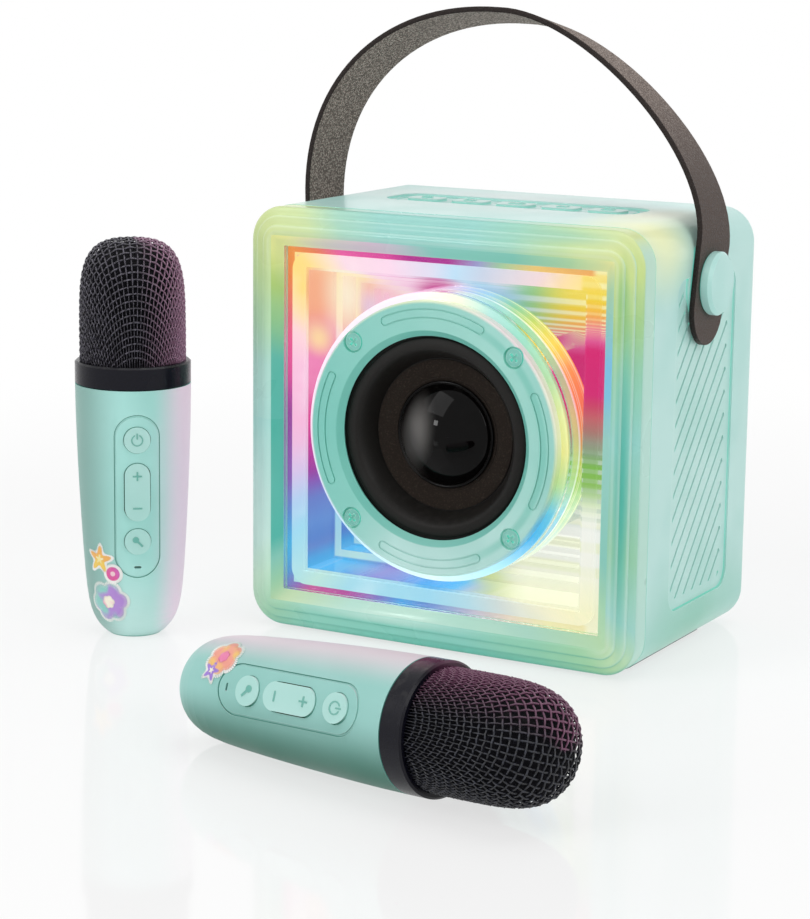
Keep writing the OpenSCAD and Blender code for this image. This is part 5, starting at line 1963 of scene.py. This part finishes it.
@dataclass(frozen=True)
class PaleFloor(Finish):
    """A plain pale floor, faintly glossy, that fades to white far from the object."""

    name: str = "pale_floor"

    def paint(self, r: Recipe, shader: Node) -> None:
        """Wires the floor's own white, and the fade for rays from the camera and from gloss."""
        place = r.node("TexCoord").outputs["Object"]
        cloud = r.noise(place, 3.0, 2.0)
        colour = r.mix(cloud, "#fdfdfd", "#fafafa")
        feed(r, shader, Base_Color=colour, Roughness=0.6, Specular_IOR_Level=0.0)
        mirror = r.node("BsdfAnisotropic", {"Color": "#ffffff", "Roughness": 0.07})
        top = r.node("MixShader", {0: 0.28, 1: shader.outputs[0], 2: mirror.outputs[0]})
        path = r.node("LightPath")
        seen = r.larger(path.outputs["Is Camera Ray"], path.outputs["Is Glossy Ray"])
        share = r.times(seen, r.smooth(r.length(place), 0.2, 0.6, 0.68, 1.0))
        white = r.node("Emission", {"Color": "#ffffff", "Strength": 1.0})
        blend = r.node("MixShader", {0: share, 1: top.outputs[0], 2: white.outputs[0]})
        leave = next(n for n in r.tree.nodes if n.bl_idname == "ShaderNodeOutputMaterial")
        r.tree.links.new(blend.outputs[0], leave.inputs["Surface"])


@dataclass
class Studio:
    """Floor, lamps, world and camera."""

    floor_half: float = 12.0
    world_light: float = 0.33
    lamps: tuple[Softbox, ...] = (
        Softbox("key_box", (-1.0, -1.5, 1.5), 1.3, 12.4),
        Softbox("right_box", (1.7, -0.6, 1.0), 1.1, 9.0),
        Softbox("top_box", (0.1, 0.2, 1.9), 1.5, 12.8),
        Softbox("spark_box", (-0.56, -1.1, 0.32), 0.15, 1.2),
    )

    def build(self) -> None:
        """Builds the whole studio."""
        PhotoCamera().build()
        for lamp in self.lamps:
            lamp.build()
        self.floor()
        self.world()
        bpy.context.scene.view_settings.view_transform = "Standard"

    def floor(self) -> None:
        """Lays the floor at the surface that the object stands on."""
        bm = bmesh.new()
        bmesh.ops.create_grid(bm, x_segments=4, y_segments=4, size=self.floor_half)
        mesh = bpy.data.meshes.new("studio_floor")
        bm.to_mesh(mesh)
        bm.free()
        mesh.materials.append(PaleFloor().material())
        floor = bpy.data.objects.new("studio_floor", mesh)
        bpy.context.scene.collection.objects.link(floor)

    def world(self) -> None:
        """White for the camera, gloss and clear plastic, softer as light."""
        world = bpy.data.worlds.new("studio_world")
        world.use_nodes = True
        world.node_tree.nodes.clear()
        r = Recipe(world.node_tree)
        path = r.node("LightPath")
        seen = r.larger(path.outputs["Is Camera Ray"], path.outputs["Is Transmission Ray"])
        seen = r.larger(seen, path.outputs["Is Glossy Ray"])
        strength = r.plus(r.times(seen, 1 - self.world_light), self.world_light)
        light = r.node("Background", {"Color": "#ffffff", "Strength": strength})
        leave = r.node("OutputWorld")
        r.tree.links.new(light.outputs[0], leave.inputs["Surface"])
        bpy.context.scene.world = world


# Both microphones are of the same plastic: their mint, wire and dark colours differ as painted light and
# shade.
MIC_1 = Microphone(
    number=1, at=(-111.4, -81.0, 0.0), turn=(0.0, 0.0, math.radians(38.5)), tint="#ffdaf0",
    tint_side=(0.84, 0.54, 0.0), tint_start=0.33, colours=("#abe0d9", "#a3dbd3"), wire_tint="#a77c97",
    wire_colours=("#26242c", "#5e5b66"), dark="#7fa69e", dark_side=(-0.82, -0.57, 0.0), tail_strength=0.75,
    stickers=(
        Sticker("flower_sticker", Motif.FLOWER, 7.4, 14.8, -127.0, "#8fd0c8", "#b58ad8", "#f29ac0", 10.0),
        Sticker("star_sticker", Motif.STAR, 5.0, 31.0, -136.0, "#f6cf58", "#f4b45a", "#fbe9a0", 12.0),
        Sticker("dot_sticker", Motif.DISC, 2.7, 26.0, -119.0, "#e3559c", "#d860b4", "#f4b0d0", 0.0),
    ),
)
MIC_2_TURN = (Matrix.Rotation(math.radians(-10.8), 3, "Z") @ Matrix.Rotation(math.radians(87.1), 3, "Y")
              @ Matrix.Rotation(math.radians(-20.0), 3, "Z"))
# The second microphone's darker mint and wires are painted shade.
MIC_2 = Microphone(
    number=2, at=(-18.2, -176.1, 17.45), turn=tuple(MIC_2_TURN.to_euler()), tint="#ead2dd",
    tint_side=(0.1, 0.35, 0.93), tint_start=0.35, colours=("#97cbc4", "#90c6be"), wire_tint="#7d4c68",
    wire_colours=("#101117", "#31333d"), dark="#2c6857", dark_side=(0.0, -0.42, -0.91), tail_strength=0.0,
    stickers=(
        Sticker("petal_sticker", Motif.FLOWER, 6.4, 22.6, -120.0, "#f4a08c", "#f6c46e", "#ef7fae", 0.0),
        Sticker("small_star_sticker", Motif.STAR, 3.4, 20.0, -103.5, "#8f6ccc", "#a884e0", "#c9b0ee", 20.0),
    ),
)


def main() -> None:
    """Builds the studio and every piece."""
    logging.basicConfig(level=logging.INFO, format="%(message)s")
    Studio().build()
    Cabinet().build()
    Loudspeaker().build()
    StrapHandle().build()
    net = MIC_1.build(None)
    MIC_2.build(net)
    bpy.data.meshes.remove(net)


if __name__ == "__main__":
    main()
